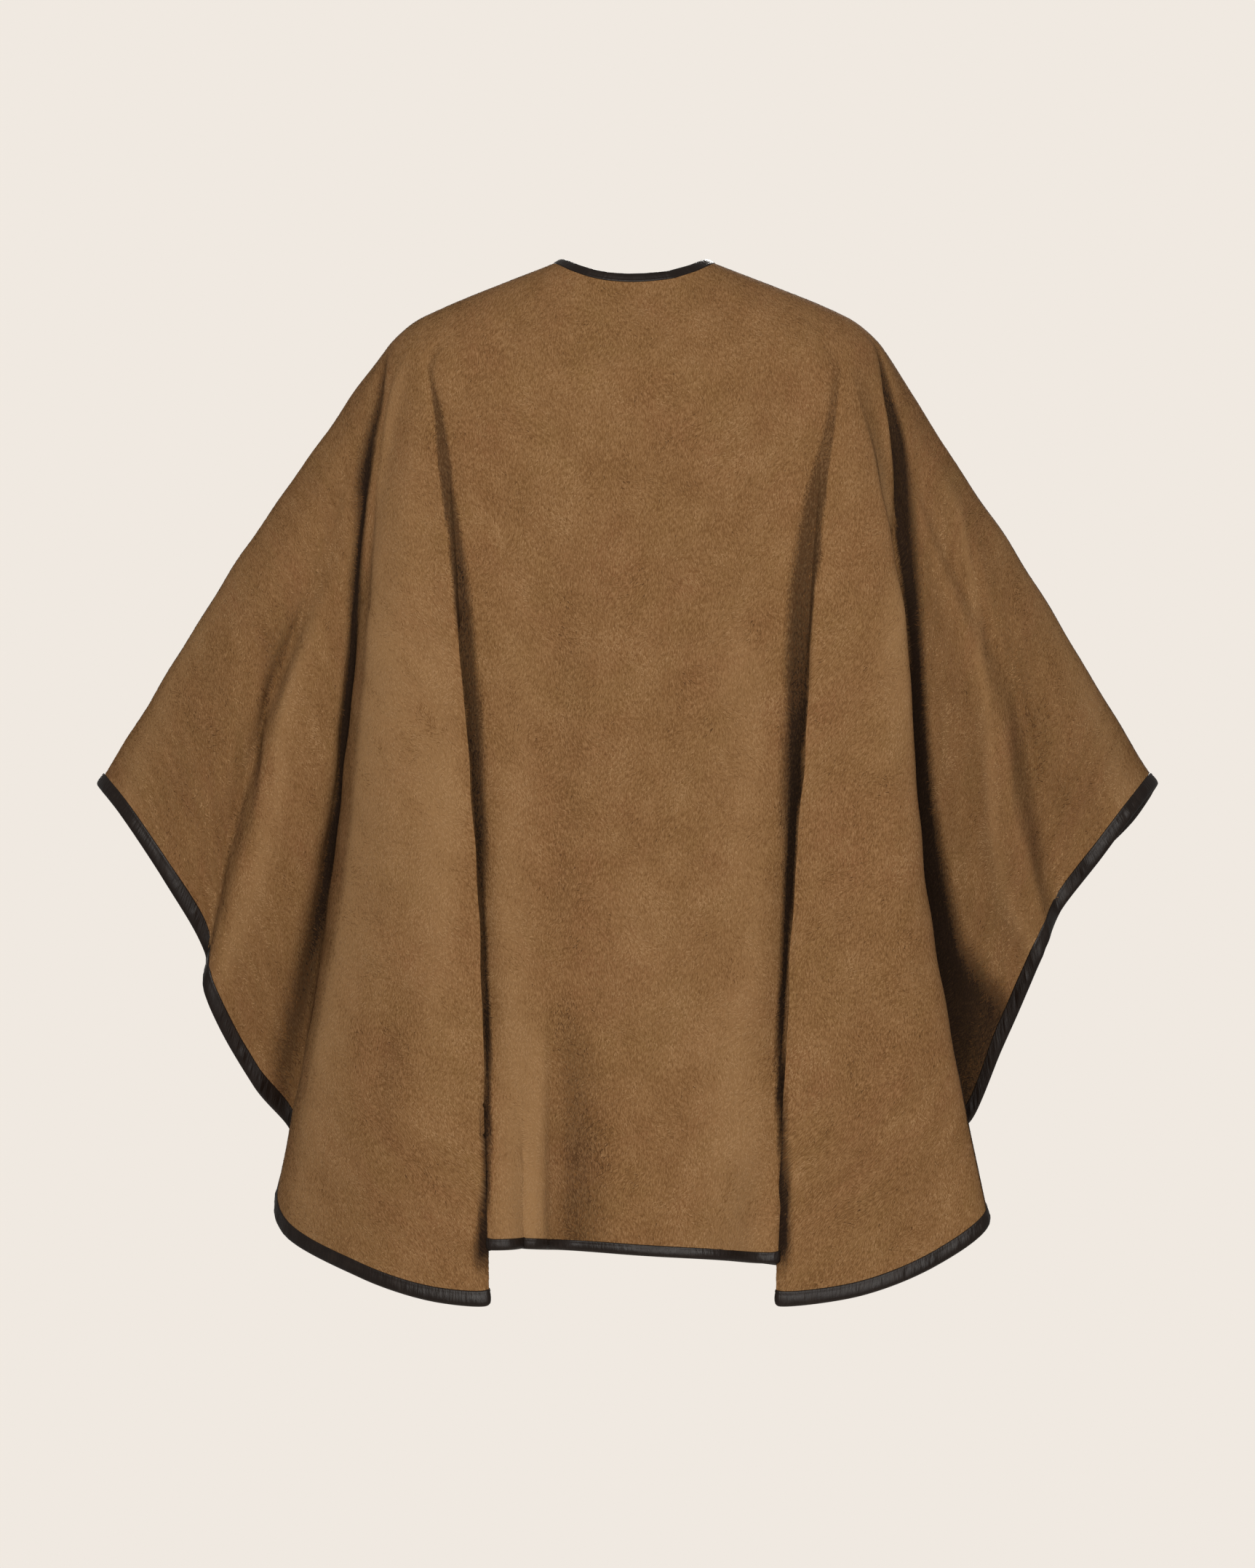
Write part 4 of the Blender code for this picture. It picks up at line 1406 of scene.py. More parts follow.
class Tone(Enum):
    """The tones of the nap's fibres, from the lightest, with a share of the middle one's light: lit and
    shaded copies of one colour, which carry the painted highlights and painted shade.
    """

    # crest is mostly painted highlight, and dusk and deep are painted shade
    CREST = ("crest", 1.40, rgba(0.285, 0.1640, 0.0760))
    LIGHT = ("light", 1.18, rgba(0.230, 0.1260, 0.0540))
    MIDDLE = ("middle", 1.00, rgba(0.190, 0.0970, 0.0380))
    DARK = ("dark", 0.80, rgba(0.145, 0.0700, 0.0250))
    DUSK = ("dusk", 0.45, rgba(0.074, 0.0345, 0.0130))
    DEEP = ("deep", 0.12, rgba(0.019, 0.0100, 0.0058))

    def __init__(self, label: str, light: float, color: tuple) -> None:
        """Keep the tone's name, its share of the middle one's light, and its colour.

        Args:
            label: its name.
            light: its share of the middle tone's light.
            color: its colour.
        """
        self.label = label
        self.light = light
        self.color = color


@dataclass(frozen=True)
class NapFinish:
    """A fibre's colour, the same along its length."""

    tone: Tone

    def material(self) -> bpy.types.Material:
        """The fibres' material."""
        shader = Shader(f"wool_nap_{self.tone.label}")
        return shader.finish(Base_Color=self.tone.color, Roughness=0.9, Specular_IOR_Level=0.08)


@dataclass(frozen=True)
class LeatherFinish:
    """Near-black smooth leather with fine grain and creases across the strip."""

    name: str = "bound_leather"
    color: tuple = rgba(0.0088, 0.0050, 0.0034)
    worn: tuple = rgba(0.0150, 0.0092, 0.0066)
    worn_at: tuple[float, float] = (0.45, 0.72)  # where the wear begins and is whole
    wrinkle: tuple[float, float] = (0.0022, 0.0120)  # metres across and down
    cloud_scale: float = 55.0
    grain_scale: float = 1500.0
    relief: float = 0.00060
    grain: float = 0.00004
    roughness: float = 0.34
    roughness_more: float = 0.22

    def material(self) -> bpy.types.Material:
        """The strips' material.

        Returns:
            The material.
        """
        shader = Shader(self.name)
        uv = shader.place("UV")
        wrinkle = shader.noise(shader.stretch(uv, *self.wrinkle), 1.0, 3.0)
        cloud = shader.noise(uv, self.cloud_scale, 2.0)
        grain = shader.add("ShaderNodeTexVoronoi", {"feature": "F1"},
                           {"Vector": uv, "Scale": self.grain_scale}, "Distance")
        worn = shader.mask(wrinkle * 0.5 + cloud * 0.5, *self.worn_at)
        normal = shader.bump(wrinkle * self.relief + grain * self.grain, 1.0)
        return shader.finish(
            Base_Color=shader.mix(worn, self.color, self.worn),
            Roughness=self.roughness + cloud * self.roughness_more,
            Specular_IOR_Level=0.24,
            Normal=normal,
        )


@dataclass(frozen=True)
class ThreadFinish:
    """Twisted dark thread."""

    name: str = "dark_thread"
    color: tuple = rgba(0.0200, 0.0120, 0.0080)
    light: tuple = rgba(0.0480, 0.0300, 0.0200)
    twist_scale: float = 1800.0
    relief: float = 0.0001

    def material(self) -> bpy.types.Material:
        """The stitches' material.

        Returns:
            The material.
        """
        shader = Shader(self.name)
        twist = shader.noise(shader.place("Object"), self.twist_scale, 1.0)
        return shader.finish(
            Base_Color=shader.mix(twist, self.color, self.light),
            Roughness=0.62,
            Normal=shader.bump(twist, self.relief),
        )


@dataclass(frozen=True)
class FloorFinish:
    """A plain pale matt floor."""

    name: str = "pale_floor"
    color: tuple = rgba(0.760, 0.715, 0.665)
    cloud: Tint = Tint(rgba(0.70, 0.66, 0.62), 0.0, 1.0, 0.1, 3.0)

    def material(self) -> bpy.types.Material:
        """The floor's material.

        Returns:
            The material.
        """
        shader = Shader(self.name)
        cloud = shader.noise(shader.place("Object"), self.cloud.scale, 2.0)
        return shader.finish(
            Base_Color=shader.mix(cloud * self.cloud.most, self.color, self.cloud.color),
            Roughness=0.85,
        )


# ---- mesh tools

def pick(obj: bpy.types.Object) -> None:
    """Make an object the only selected one, and active.

    Args:
        obj: the object.
    """
    bpy.ops.object.select_all(action="DESELECT")
    obj.select_set(True)
    bpy.context.view_layer.objects.active = obj


def apply(obj: bpy.types.Object, kind: str, **settings: Any) -> None:
    """Add a modifier and apply it.

    Args:
        obj: the object.
        kind: the modifier's type.
        settings: its settings by name.
    """
    pick(obj)
    modifier = obj.modifiers.new(kind.title(), kind)
    for name, value in settings.items():
        setattr(modifier, name, value)
    bpy.ops.object.modifier_apply(modifier=modifier.name)


def read_grid(grid: np.ndarray, row: np.ndarray, column: np.ndarray) -> np.ndarray:
    """A grid at places between its rows and columns.

    Args:
        grid: values, with axes row, column, value.
        row: rows to read.
        column: columns to read.

    Returns:
        The values, a row for each place read.
    """
    upper = np.clip(row.astype(int), 0, grid.shape[0] - 2)
    left = np.clip(column.astype(int), 0, grid.shape[1] - 2)
    down = np.clip(row - upper, 0.0, 1.0)[:, None]
    over = np.clip(column - left, 0.0, 1.0)[:, None]
    above = grid[upper, left] * (1.0 - over) + grid[upper, left + 1] * over
    below = grid[upper + 1, left] * (1.0 - over) + grid[upper + 1, left + 1] * over
    return above * (1.0 - down) + below * down


def corner_points(mesh: bpy.types.Mesh) -> np.ndarray:
    """The number of the point at each corner of a mesh's faces.

    Args:
        mesh: the mesh.

    Returns:
        The numbers.
    """
    corners = np.zeros(len(mesh.loops), dtype=int)
    mesh.loops.foreach_get("vertex_index", corners)
    return corners


def sheet_object(name: str, points: np.ndarray, flat: np.ndarray) -> bpy.types.Object:
    """A grid laid on points, its faces turned towards down times across.

    Args:
        name: the object's name.
        points: positions in millimetres; axes are row down, column across, xyz.
        flat: the UV position of each point, in millimetres.

    Returns:
        The new object.
    """
    rows, columns = points.shape[:2]
    bpy.ops.object.select_all(action="DESELECT")
    bpy.ops.mesh.primitive_grid_add(x_subdivisions=columns - 1, y_subdivisions=rows - 1, size=1.0)
    obj = bpy.context.active_object
    obj.name = name
    obj.data.name = name
    mesh = obj.data
    mesh.vertices.foreach_set("co", (points[::-1] * MM).ravel())
    places = flat[::-1].reshape(-1, 2)[corner_points(mesh)]
    mesh.uv_layers[0].data.foreach_set("uv", (places * MM).ravel())
    mesh.update()
    return obj


def store_shade(obj: bpy.types.Object, shade: np.ndarray) -> None:
    """Keep a grid's shade on its corners, where Solidify carries it to both faces.

    Args:
        obj: the grid's object.
        shade: a shade for each point of the grid.
    """
    values = np.clip(shade[::-1].ravel(), -1.0, 1.0)[corner_points(obj.data)]
    colors = np.ones((len(values), 4))
    colors[:, :3] = (values * PLAIN_SHADE + PLAIN_SHADE)[:, None]
    layer = obj.data.attributes.new("shade", "FLOAT_COLOR", "CORNER")
    layer.data.foreach_set("color", colors.ravel())


def ease_inside(obj: bpy.types.Object, faces: int, share: float) -> None:
    """Keep a share of the shade on a panel's inner faces, which Solidify adds after its own ones.

    Args:
        obj: the panel.
        faces: how many it had before Solidify.
        share: the share kept.
    """
    layer = obj.data.attributes["shade"].data
    colors = np.zeros(4 * len(layer))
    layer.foreach_get("color", colors)
    inner = colors.reshape(-1, 4)[4 * faces:8 * faces, :3]
    inner[:] = PLAIN_SHADE + share * (inner - PLAIN_SHADE)
    layer.foreach_set("color", colors)


def loose_faces(name: str, corners: np.ndarray, faces: np.ndarray) -> bpy.types.Object:
    """An object of many small pieces.

    Args:
        name: the object's name.
        corners: positions in millimetres.
        faces: corner numbers, a row for each face.

    Returns:
        The new object.
    """
    mesh = bpy.data.meshes.new(name)
    mesh.vertices.add(len(corners))
    mesh.vertices.foreach_set("co", (corners * MM).ravel())
    sides = faces.shape[1]
    mesh.loops.add(faces.size)
    mesh.loops.foreach_set("vertex_index", faces.ravel())
    mesh.polygons.add(len(faces))
    mesh.polygons.foreach_set("loop_start", np.arange(0, faces.size, sides))
    mesh.update(calc_edges=True)
    obj = bpy.data.objects.new(name, mesh)
    bpy.context.scene.collection.objects.link(obj)
    return obj


def edit_all() -> None:
    """Open the active object in edit mode with everything selected."""
    bpy.ops.object.mode_set(mode="EDIT")
    bpy.ops.mesh.select_all(action="SELECT")


def dress(obj: bpy.types.Object, material: bpy.types.Material) -> None:
    """Give a piece its material and the body that it rides on.

    Args:
        obj: the piece.
        material: its material.
    """
    obj.data.materials.clear()
    obj.data.materials.append(material)
    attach(obj, BODY)
    count = sum(len(face.vertices) - 2 for face in obj.data.polygons)
    log.info("%s: %d triangles", obj.name, count)


# ---- the pieces

@dataclass
class Cloth:
    """One panel of double wool, from under the neck strip to under the hem strip."""

    drape: Drape
    side: Side
    name: str
    node: str
    cut_width: float  # of the rectangle that the flat cut needs, in metres
    cut_length: float  # down the grain
    cut_area: float  # the flat cut's own area, in square metres
    step: float = 11.0  # between columns, along the hem
    rows: int = 150
    wall: float = 3.0
    top: float = 7.5  # hidden under the neck strip
    hem: float = 6.8  # hidden under the hem strip
    inside_share: float = 0.25  # of the shade that its inner face keeps
    patch: Patch = field(init=False)

    def build(self) -> bpy.types.Object:
        """The panel with its wall.

        Returns:
            The panel.
        """
        places = self.drape.spread(*self.drape.spans[self.side], self.step)
        self.patch = self.drape.cut(places, self.top, self.hem, self.rows)
        obj = sheet_object(self.name, self.patch.points, self.patch.flat)
        store_shade(obj, self.patch.shade)
        faces = len(obj.data.polygons)
        apply(obj, "SOLIDIFY", thickness=self.wall * MM, offset=0.0, use_rim=True)
        ease_inside(obj, faces, self.inside_share)
        pick(obj)
        bpy.ops.object.shade_smooth_by_angle(angle=SMOOTH_ANGLE)
        return obj

    def declare(self, obj: bpy.types.Object, pieces: Iterable[Any]) -> None:
        """Hide the CAD part that the panel replaces.

        Args:
            obj: the panel; not used.
            pieces: its nap, strips and stitches; not used.
        """
        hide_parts(self.node)


@dataclass
class Nap:
    """Short brushed fibres that lie on a panel's outer face."""

    cloth: Cloth
    count: int
    seed: int
    shortest: float = 2.4
    longest: float = 5.0
    half_width: float = 0.48
    lowest_tip: float = 0.10
    highest_tip: float = 0.45
    root_sink: float = 0.05  # how far the roots stand in the cloth
    widths: tuple[float, float] = (0.6, 1.3)  # shares of the half width
    stretch: float = 1.3  # of its length that a fibre may reach over a fold
    swirl: float = 0.75  # radians either way of the grain
    swirl_waves: tuple[float, float, float] = (150.0, 35.0, 1.7)  # longest, shortest, turn
    scatter: float = 0.32
    mottle: float = 0.18  # unevenness of the tone over broad patches
    mottle_waves: tuple[float, float, float] = (180.0, 30.0, 4.1)
    spread: float = 0.17  # and from fibre to fibre
    dark_loss: float = 0.93  # share of its light that the nap loses where its shade is 1
    crest_light: float = 0.50  # how much lighter the nap is where its shade is -1
    most_cells: float = 1.6  # of the panel's grid that a fibre may cross

    def _tones(self, shade: np.ndarray, flat: np.ndarray, rng: np.random.Generator) -> np.ndarray:
        """The tone of each fibre, as its number in Tone, from the painted shade of the cloth under it.

        Args:
            shade: the cloth's shade under each fibre.
            flat: the fibres' flat positions.
            rng: the random numbers.

        Returns:
            The numbers.
        """
        light = 1.0 - self.dark_loss * np.clip(shade, 0.0, 1.0)
        light = light + self.crest_light * np.clip(-shade, 0.0, 1.0)
        draw = np.log(light) + self.mottle * waves(flat, *self.mottle_waves)
        draw = draw + rng.normal(0.0, self.spread, len(shade))
        lights = np.log([tone.light for tone in Tone])
        return np.digitize(draw, (lights[:-1] + lights[1:]) / 2.0)

    def _fibres(self, rng: np.random.Generator) -> tuple[np.ndarray, np.ndarray]:
        """Corners of the fibres, with axes fibre, corner, xyz, and their tones.

        Args:
            rng: the random numbers.

        Returns:
            The corners and the tones.
        """
        patch, count = self.cloth.patch, self.count
        points = patch.points
        right = points[:-1, 1:] - points[:-1, :-1]
        below = points[1:, :-1] - points[:-1, :-1]
        area = np.linalg.norm(np.cross(right, below), axis=2)
        cell = rng.choice(area.size, size=count, p=(area / area.sum()).ravel())
        upper, left = np.divmod(cell, area.shape[1])
        row, column = upper + rng.random(count), left + rng.random(count)
        root, flat = read_grid(points, row, column), read_grid(patch.flat, row, column)
        normal = unit(read_grid(patch.normals, row, column))
        angle = self.swirl * waves(flat, *self.swirl_waves) - patch.turn[left]
        angle = angle + rng.normal(0.0, self.scatter, count)
        length = rng.uniform(self.shortest, self.longest, count)
        down = unit(below[upper, left])
        across = unit(np.cross(normal, down))
        step_over = (right[upper, left] * across).sum(axis=1)
        slip = (right[upper, left] * down).sum(axis=1)
        over = np.clip(length * np.sin(angle) / step_over, -self.most_cells, self.most_cells)
        under = (length * np.cos(angle) - over * slip) / np.linalg.norm(below[upper, left], axis=1)
        under = np.clip(under, -self.most_cells, self.most_cells)
        end = (row + under, column + over)
        end_normal = unit(read_grid(patch.normals, *end))
        foot = root + normal * (self.cloth.wall / 2.0 - self.root_sink)
        tip = self.cloth.wall / 2.0 + rng.uniform(self.lowest_tip, self.highest_tip, (count, 1))
        tip = read_grid(points, *end) + end_normal * tip
        reach = np.linalg.norm(tip - foot, axis=1)
        tip = foot + (tip - foot) * np.minimum(1.0, self.stretch * length / reach)[:, None]
        wide = unit(np.cross(normal, tip - foot))
        wide = wide * (self.half_width * rng.uniform(*self.widths, (count, 1)))
        corners = np.stack([foot + wide, foot - wide, tip], axis=1)
        return corners, self._tones(read_grid(patch.shade, row, column)[:, 0], flat, rng)

    def build(self) -> list[bpy.types.Object]:
        """The fibres, one object for each tone.

        Returns:
            The objects.
        """
        corners, tones = self._fibres(np.random.default_rng(self.seed))
        made = []
        for number, tone in enumerate(Tone):
            chosen = corners[tones == number].reshape(-1, 3)
            faces = np.arange(len(chosen)).reshape(-1, 3)
            obj = loose_faces(f"nap_{self.cloth.side.value}_{tone.label}", chosen, faces)
            dress(obj, NapFinish(tone).material())
            made.append(obj)
        return made


@dataclass
class Edge:
    """Two lines along a bound edge: the cloth's edge and the strip's sewn side."""

    edge: np.ndarray
    seam: np.ndarray
    edge_normal: np.ndarray
    seam_normal: np.ndarray

    def out(self, share: float) -> np.ndarray:
        """Outward directions at a share of the strip's width from its sewn side."""
        part = min(max(share, 0.0), 1.0)
        return unit(self.seam_normal * (1.0 - part) + self.edge_normal * part)


# How far across the strip, from its sewn side, and how far out of the cloth's middle.
STRIP_PROFILE = (
    (-0.10, 1.55),
    (-0.06, 2.05),
    (0.03, 2.45),
    (0.13, 2.20),
    (0.28, 2.50),
    (0.50, 2.65),
    (0.72, 2.55),
    (0.90, 2.00),
    (0.99, 1.00),
)


@dataclass(frozen=True)
class Pucker:
    """A kind of pucker across a strip, in millimetres."""

    every: float
    widths: tuple[float, float]
    heights: tuple[float, float]
    lean: float  # how far one may lean along the strip


PUCKERS = (
    Pucker(6.5, (1.3, 2.8), (0.20, 0.75), 5.0),
    Pucker(34.0, (5.0, 10.0), (0.25, 0.70), 1.5),
)


@dataclass
class Strip:
    """A leather strip folded round an edge of the cloth, with puckers across it."""

    name: str
    node: str
    line: Edge
    seed: int
    sunk: float = 0.35  # share of the puckers that run inwards
    middle: tuple[float, float] = (0.45, 0.75)  # where across the strip they are highest
    fade: float = 0.33  # share of the width over which they fade to both sides
    level_share: float = 0.35  # of their height where the strip runs level
    steep: float = 0.75  # steepness at which they have their whole height
    fold: float = 1.015  # of the width, to where the strip folds over
    stitch_every: float = 2.8
    stitch_at: float = 0.13  # of the strip's width, from its sewn side
    stitch_out: float = 1.85  # from the cloth's middle

    def _puckers(self, along: np.ndarray, across: np.ndarray, slope: np.ndarray, seed: int) -> np.ndarray:
        """Heights of the puckers; axes are profile point, place along the strip.

        Args:
            along: distances along the strip.
            across: shares across it.
            slope: how steeply it runs at each place.
            seed: of the random numbers.

        Returns:
            The heights.
        """
        rng = np.random.default_rng(seed)
        total = along[-1]
        height = np.zeros((len(across), len(along)))
        for kind in PUCKERS:
            count = max(2, int(total / kind.every))
            for place in np.sort(rng.uniform(0.0, total, count)):
                width = rng.uniform(*kind.widths)
                lift = rng.uniform(*kind.heights) * rng.choice((-1.0, 1.0), p=(self.sunk, 1.0 - self.sunk))
                skew = rng.normal(0.0, kind.lean)
                middle = rng.uniform(*self.middle)
                apart = (along[None] - place - skew * (across[:, None] - 0.5)) / width
                window = np.exp(-((across[:, None] - middle) / self.fade) ** 2)
                height += lift * np.exp(-apart**2) * window
        return height * (self.level_share + (1.0 - self.level_share) * slope[None])

    def _face(self, sign: float, lifts: np.ndarray) -> list[np.ndarray]:
        """The lines of one face, at some distances out of the cloth's middle.

        Args:
            sign: 1 for the outer face and -1 for the inner.
            lifts: the distances.

        Returns:
            The lines.
        """
        shares = [share for share, out in STRIP_PROFILE]
        width = self.line.edge - self.line.seam
        return [
            self.line.seam + width * share + sign * self.line.out(share) * lift[:, None]
            for share, lift in zip(shares, lifts)
        ]

    def build(self) -> bpy.types.Object:
        """The strip, closed at both ends.

        Returns:
            The strip.
        """
        edge, seam = self.line.edge, self.line.seam
        along = walked(edge)
        slope = smooth(np.abs(unit(np.gradient(edge, axis=0))[:, 2]) / self.steep)
        across = np.array([share for share, out in STRIP_PROFILE])
        out = np.array([out for share, out in STRIP_PROFILE])[:, None]
        outer = self._face(1.0, out + self._puckers(along, across, slope, self.seed))
        inner = self._face(-1.0, out + self._puckers(along, across, slope, self.seed + 1))
        fold = seam + (edge - seam) * self.fold
        points = np.array([*outer, fold, *inner[::-1], outer[0]])
        girth = np.linalg.norm(np.diff(points, axis=0), axis=2).mean(axis=1)
        around = np.concatenate([[0.0], np.cumsum(girth)])
        flat = np.stack(np.meshgrid(along, around), axis=2)
        obj = sheet_object(self.name, points, flat)
        pick(obj)
        edit_all()
        bpy.ops.mesh.remove_doubles(threshold=MERGE_DISTANCE)
        bpy.ops.mesh.fill_holes(sides=0)
        bpy.ops.mesh.normals_make_consistent(inside=False)
        bpy.ops.object.mode_set(mode="OBJECT")
        bpy.ops.object.shade_smooth_by_angle(angle=SMOOTH_ANGLE)
        return obj

    def stitch_frames(self) -> tuple[np.ndarray, np.ndarray, np.ndarray, np.ndarray]:
        """Places of the stitches on both faces, with their directions along, across and out.

        Returns:
            Places, and directions along, across and out.
        """
        edge, seam = self.line.edge, self.line.seam
        line = seam + (edge - seam) * self.stitch_at
        along = walked(line)
        reads = np.arange(self.stitch_every, along[-1] - self.stitch_every / 2, self.stitch_every)

        def read(grid: np.ndarray) -> np.ndarray:
            """A line's values at the stitches."""
            return np.stack([np.interp(reads, along, grid[:, axis]) for axis in range(3)], axis=1)

        place, out = read(line), unit(read(self.line.out(self.stitch_at)))
        forward = unit(read(np.gradient(line, axis=0)))
        places = np.concatenate([place + out * self.stitch_out, place - out * self.stitch_out])
        forwards = np.concatenate([forward, forward])
        outs = np.concatenate([out, -out])
        return places, forwards, unit(np.cross(outs, forwards)), outs


@dataclass
class Stitching:
    """A strip's stitches, each a short tapered loop of thread sunk in the leather."""

    strip: Strip
    length: float = 2.1
    thickness: float = 0.55
    taper: float = 0.45  # of its thickness, at its ends
    dip: float = 0.3  # of its thickness, by which its ends are sunk

    def _stitch(self) -> tuple[np.ndarray, np.ndarray]:
        """One stitch along X: its corners in millimetres and its faces.

        Returns:
            The corners and the faces.
        """
        bpy.ops.object.select_all(action="DESELECT")
        bpy.ops.mesh.primitive_cylinder_add(
            vertices=4, radius=self.thickness / 2, depth=self.length, rotation=(0.0, math.pi / 2, 0.0)
        )
        obj = bpy.context.active_object
        bpy.ops.object.transform_apply(location=True, rotation=True, scale=True)
        edit_all()
        bpy.ops.mesh.bisect(plane_co=(0.0, 0.0, 0.0), plane_no=(1.0, 0.0, 0.0))
        bpy.ops.mesh.select_all(action="SELECT")
        bpy.ops.mesh.quads_convert_to_tris()
        bpy.ops.object.mode_set(mode="OBJECT")
        corners = np.array([vertex.co for vertex in obj.data.vertices])
        ends = np.abs(corners[:, 0]) > self.length * 0.4
        corners[ends, 1:] *= self.taper
        corners[ends, 2] -= self.thickness * self.dip
        faces = np.array([face.vertices for face in obj.data.polygons])
        bpy.data.objects.remove(obj, do_unlink=True)
        return corners, faces

    def build(self) -> bpy.types.Object:
        """The strip's stitches in one mesh.

        Returns:
            The stitches.
        """
        corners, faces = self._stitch()
        place, forward, side, out = self.strip.stitch_frames()
        axes = np.stack([forward, side, out], axis=1)
        placed = place[:, None] + np.einsum("ck,nkx->ncx", corners, axes)
        numbers = faces[None] + (np.arange(len(place)) * len(corners))[:, None, None]
        obj = loose_faces(f"{self.strip.name}_stitches", placed.reshape(-1, 3), numbers.reshape(-1, 3))
        pick(obj)
        bpy.ops.object.shade_smooth()
        return obj


@dataclass
class Cape:
    """The whole cape."""

    drape: Drape = field(default_factory=Drape)
    neck_strip: float = 9.5
    neck_down_row: int = 6  # the dense row that gives the way down from the neck's edge
    neck_edge_row: int = 1  # rows whose normals the strip's edge and sewn side take
    neck_seam_row: int = 3
    narrow_strip: float = 9.2  # of the hem between the two back pleats
    narrow_from: float = 3.6  # places past a pleat's edge at which it begins
    strip_step: float = 2.0
    front_gap: float = 0.3  # between the neck strip and a front one
    front_length: float = 900.0
    probes: int = 2001  # places at which the neck's length is measured
    fibres_back: int = 290_000
    fibres_front: int = 70_000
    nap_seed: int = 5
    strip_seed: int = 11
    panel_seeds: int = 12  # from one panel's first seed to the next one's
    second_seed: int = 5  # from a hem strip's to that of the panel's other strip

    def _hem_width(self, places: np.ndarray) -> np.ndarray:
        """Width of the hem strip, which is folded narrower between the two back pleats.

        Args:
            places: places across the sheet.

        Returns:
            A width for each place.
        """
        first = self.drape.marks["left_edge"] + self.narrow_from
        last = self.drape.marks["right_edge"] - self.narrow_from
        inner = smooth(places - first) * smooth(last - places)
        return self.drape.strip - (self.drape.strip - self.narrow_strip) * inner

    def _hem_edge(self, side: Side) -> Edge:
        """The bound hem of a panel.

        Args:
            side: the panel.

        Returns:
            Its edge and seam.
        """
        places = self.drape.spread(*self.drape.spans[side], self.strip_step)
        grid = self.drape.cut(places, 0.0, self._hem_width(places), 1)
        whole = self.drape.cut(places, 0.0, 0.0, 1)
        return Edge(whole.points[-1], grid.points[-1], whole.normals[-1], grid.normals[-1])

    def _neck_edge(self) -> Edge:
        """The bound neck, from one front edge round the back to the other.

        Returns:
            Its edge and seam.
        """
        last = self.drape.front_strips[Side.RIGHT][1]
        dense = np.linspace(0.0, last, self.probes)
        length = walked(self.drape.loft(dense)[0])
        count = int(length[-1] / self.strip_step) + 1
        places = np.interp(np.linspace(0.0, length[-1], count), length, dense)
        columns = self.drape.columns(places)
        edge, normals = columns.points[0], columns.normals
        seam = edge + unit(columns.points[self.neck_down_row] - edge) * self.neck_strip
        return Edge(edge, seam, normals[self.neck_edge_row], normals[self.neck_seam_row])

    def _front_edge(self, side: Side) -> Edge:
        """The bound edge of a front, from under the neck strip to the hem.

        Args:
            side: the front.

        Returns:
            Its edge and seam.
        """
        places = np.array(self.drape.front_strips[side])
        rows = int(self.front_length / self.strip_step)
        grid = self.drape.cut(places, self.neck_strip + self.front_gap, 0.0, rows)
        first = 0 if side is Side.LEFT else 1
        return Edge(
            grid.points[:, first], grid.points[:, 1 - first],
            grid.normals[:, first], grid.normals[:, 1 - first],
        )

    def _strips(self, side: Side) -> list[Strip]:
        """The strips that are sewn to one panel.

        Args:
            side: the panel.

        Returns:
            The strips, from the hem up.
        """
        seed = self.strip_seed + self.panel_seeds * list(Side).index(side)
        other = seed + self.second_seed
        hem = Strip(f"hem_leather_{side.value}", f"hem_binding_{side.value}", self._hem_edge(side), seed)
        if side is Side.BACK:
            return [hem, Strip("neck_leather", "neck_binding", self._neck_edge(), other)]
        name = f"front_leather_{side.value}"
        return [hem, Strip(name, f"front_binding_{side.value}", self._front_edge(side), other)]

    def build(self) -> None:
        """Build and dress every piece, and hide the CAD parts that they replace."""
        wool, leather = WoolFinish().material(), LeatherFinish().material()
        thread = ThreadFinish().material()
        cloths = (
            Cloth(self.drape, Side.BACK, "back_cloth", "back_panel", 1.320, 1.039, 1.012, step=12.5),
            Cloth(self.drape, Side.LEFT, "front_cloth_left", "front_panel_left", 0.533, 0.953, 0.340),
            Cloth(self.drape, Side.RIGHT, "front_cloth_right", "front_panel_right", 0.527, 0.956, 0.339),
        )
        for seed, cloth in enumerate(cloths, start=self.nap_seed):
            panel = cloth.build()
            dress(panel, wool)
            fibres = self.fibres_back if cloth.side is Side.BACK else self.fibres_front
            pieces = Nap(cloth, fibres, seed).build()
            for strip in self._strips(cloth.side):
                bound = strip.build()
                dress(bound, leather)
                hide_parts(strip.node)
                stitches = Stitching(strip).build()
                dress(stitches, thread)
                pieces += [bound, stitches]
            cloth.declare(panel, pieces)


@dataclass(frozen=True)
class Lamp:
    """A square soft light behind the wearer; it has a twin in front of them."""

    name: str
    place: tuple[float, float, float]
    size: float
    power: float
    color: tuple[float, float, float]


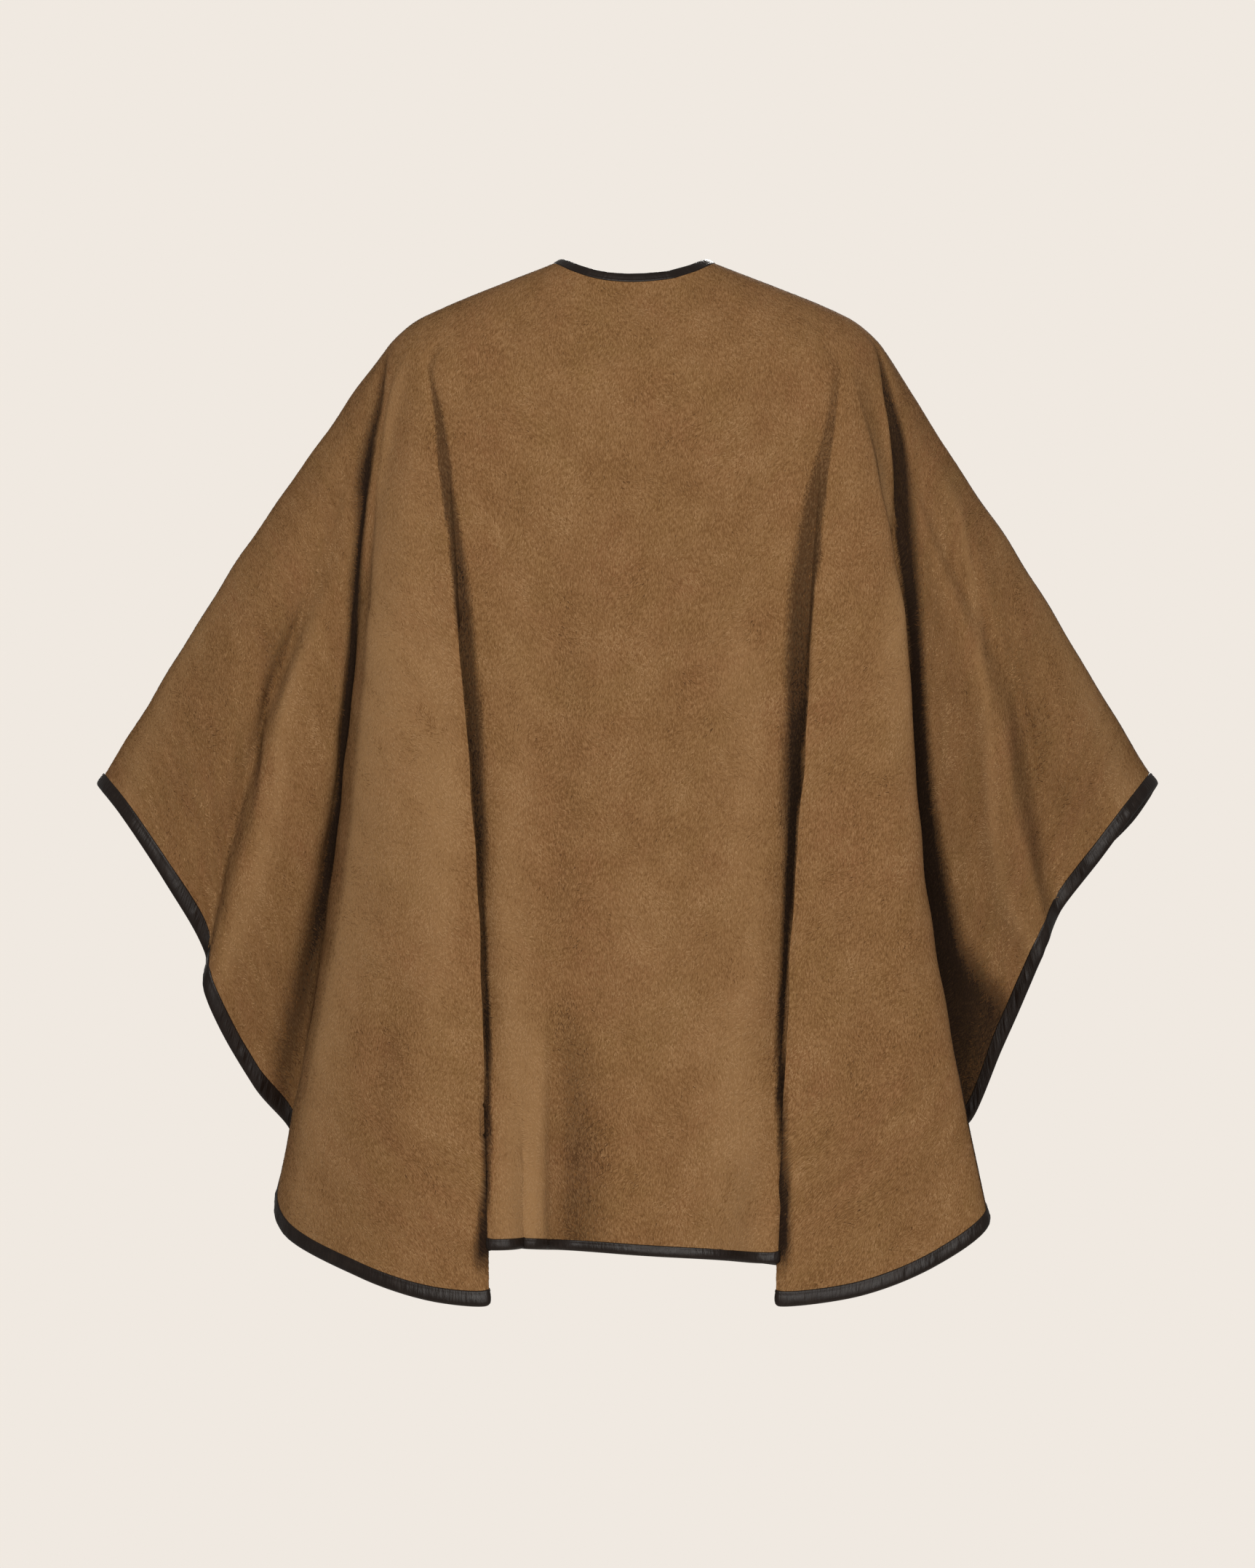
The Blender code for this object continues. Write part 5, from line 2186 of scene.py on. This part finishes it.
@dataclass
class Studio:
    """The floor, the soft lights and the camera."""

    pale: tuple[float, float, float] = (0.871, 0.815, 0.753)
    warm: tuple[float, float, float] = (1.0, 0.97, 0.93)
    ambient: float = 0.32
    lamps: tuple[Lamp, ...] = (
        Lamp("key", (-0.60, -4.0, 1.4), 1.2, 112.0, (1.0, 0.97, 0.93)),
        Lamp("fill", (0.95, -4.0, 0.2), 1.4, 62.0, (1.0, 0.97, 0.94)),
    )
    aim: tuple[float, float, float] = (0.0, -0.1, -0.5)
    floor_drop: float = 1.45
    floor_radius: float = 0.95
    floor_thickness: float = 0.02
    eye: tuple[float, float, float] = (-0.0065, -4.6, -0.499)
    view_width: float = 1.173  # metres that the frame spans at the view distance
    view_distance: float = 4.5
    sensor: float = 36.0

    def _floor(self) -> None:
        """A round pale floor where a wearer would stand."""
        bpy.ops.object.select_all(action="DESELECT")
        middle = (0.0, 0.0, -self.floor_drop - self.floor_thickness / 2.0)
        bpy.ops.mesh.primitive_cylinder_add(
            vertices=96, radius=self.floor_radius, depth=self.floor_thickness, location=middle
        )
        floor = bpy.context.active_object
        floor.name = "studio_floor"
        bpy.ops.object.transform_apply(location=True, rotation=True, scale=True)
        apply(floor, "BEVEL", width=0.006, segments=3, limit_method="ANGLE")
        floor.data.materials.append(FloorFinish().material())

    def _world(self) -> None:
        """A pale surround, which lights the cape less than it shows."""
        world = bpy.data.worlds.new("pale_surround")
        world.use_nodes = True
        bpy.context.scene.world = world
        nodes, links = world.node_tree.nodes, world.node_tree.links
        shown = nodes["Background"]
        shown.inputs["Color"].default_value = (*self.pale, 1.0)
        lights = nodes.new("ShaderNodeBackground")
        lights.inputs["Color"].default_value = (*self.warm, 1.0)
        lights.inputs["Strength"].default_value = self.ambient
        path = nodes.new("ShaderNodeLightPath")
        mix = nodes.new("ShaderNodeMixShader")
        links.new(path.outputs["Is Camera Ray"], mix.inputs[0])
        links.new(lights.outputs[0], mix.inputs[1])
        links.new(shown.outputs[0], mix.inputs[2])
        links.new(mix.outputs[0], nodes["World Output"].inputs["Surface"])

    def _light(self, lamp: Lamp, name: str, turn: float) -> None:
        """A lamp that faces the cape from one side (1) or the other (-1).

        Args:
            lamp: its row.
            name: the light's name.
            turn: the side.
        """
        data = bpy.data.lights.new(name, "AREA")
        data.shape = "SQUARE"
        data.size = lamp.size
        data.energy = lamp.power
        data.color = lamp.color
        light = bpy.data.objects.new(name, data)
        light.location = (turn * lamp.place[0], turn * lamp.place[1], lamp.place[2])
        aim = Vector(self.aim) - light.location
        light.rotation_euler = aim.to_track_quat("-Z", "Y").to_euler()
        bpy.context.scene.collection.objects.link(light)

    def _camera(self) -> None:
        """The camera, square to the back of the cape."""
        data = bpy.data.cameras.new("camera")
        data.sensor_fit = "HORIZONTAL"
        data.sensor_width = self.sensor
        data.lens = self.sensor * self.view_distance / self.view_width
        camera = bpy.data.objects.new("camera", data)
        camera.location = self.eye
        camera.rotation_euler = (math.pi / 2, 0.0, 0.0)
        bpy.context.scene.collection.objects.link(camera)
        bpy.context.scene.camera = camera

    def build(self) -> None:
        """Build the studio."""
        scene = bpy.context.scene
        scene.view_settings.view_transform = "Standard"
        self._floor()
        self._world()
        for prefix, turn in (("", 1.0), ("front_", -1.0)):
            for lamp in self.lamps:
                self._light(lamp, prefix + lamp.name, turn)
        self._camera()


def main() -> None:
    """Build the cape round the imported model."""
    logging.basicConfig(level=logging.INFO, format="%(message)s")
    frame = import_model()
    log.info("%d nodes in the packed model", len(frame["nodes"]))
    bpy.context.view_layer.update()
    Studio().build()
    Cape().build()


if __name__ == "__main__":
    main()
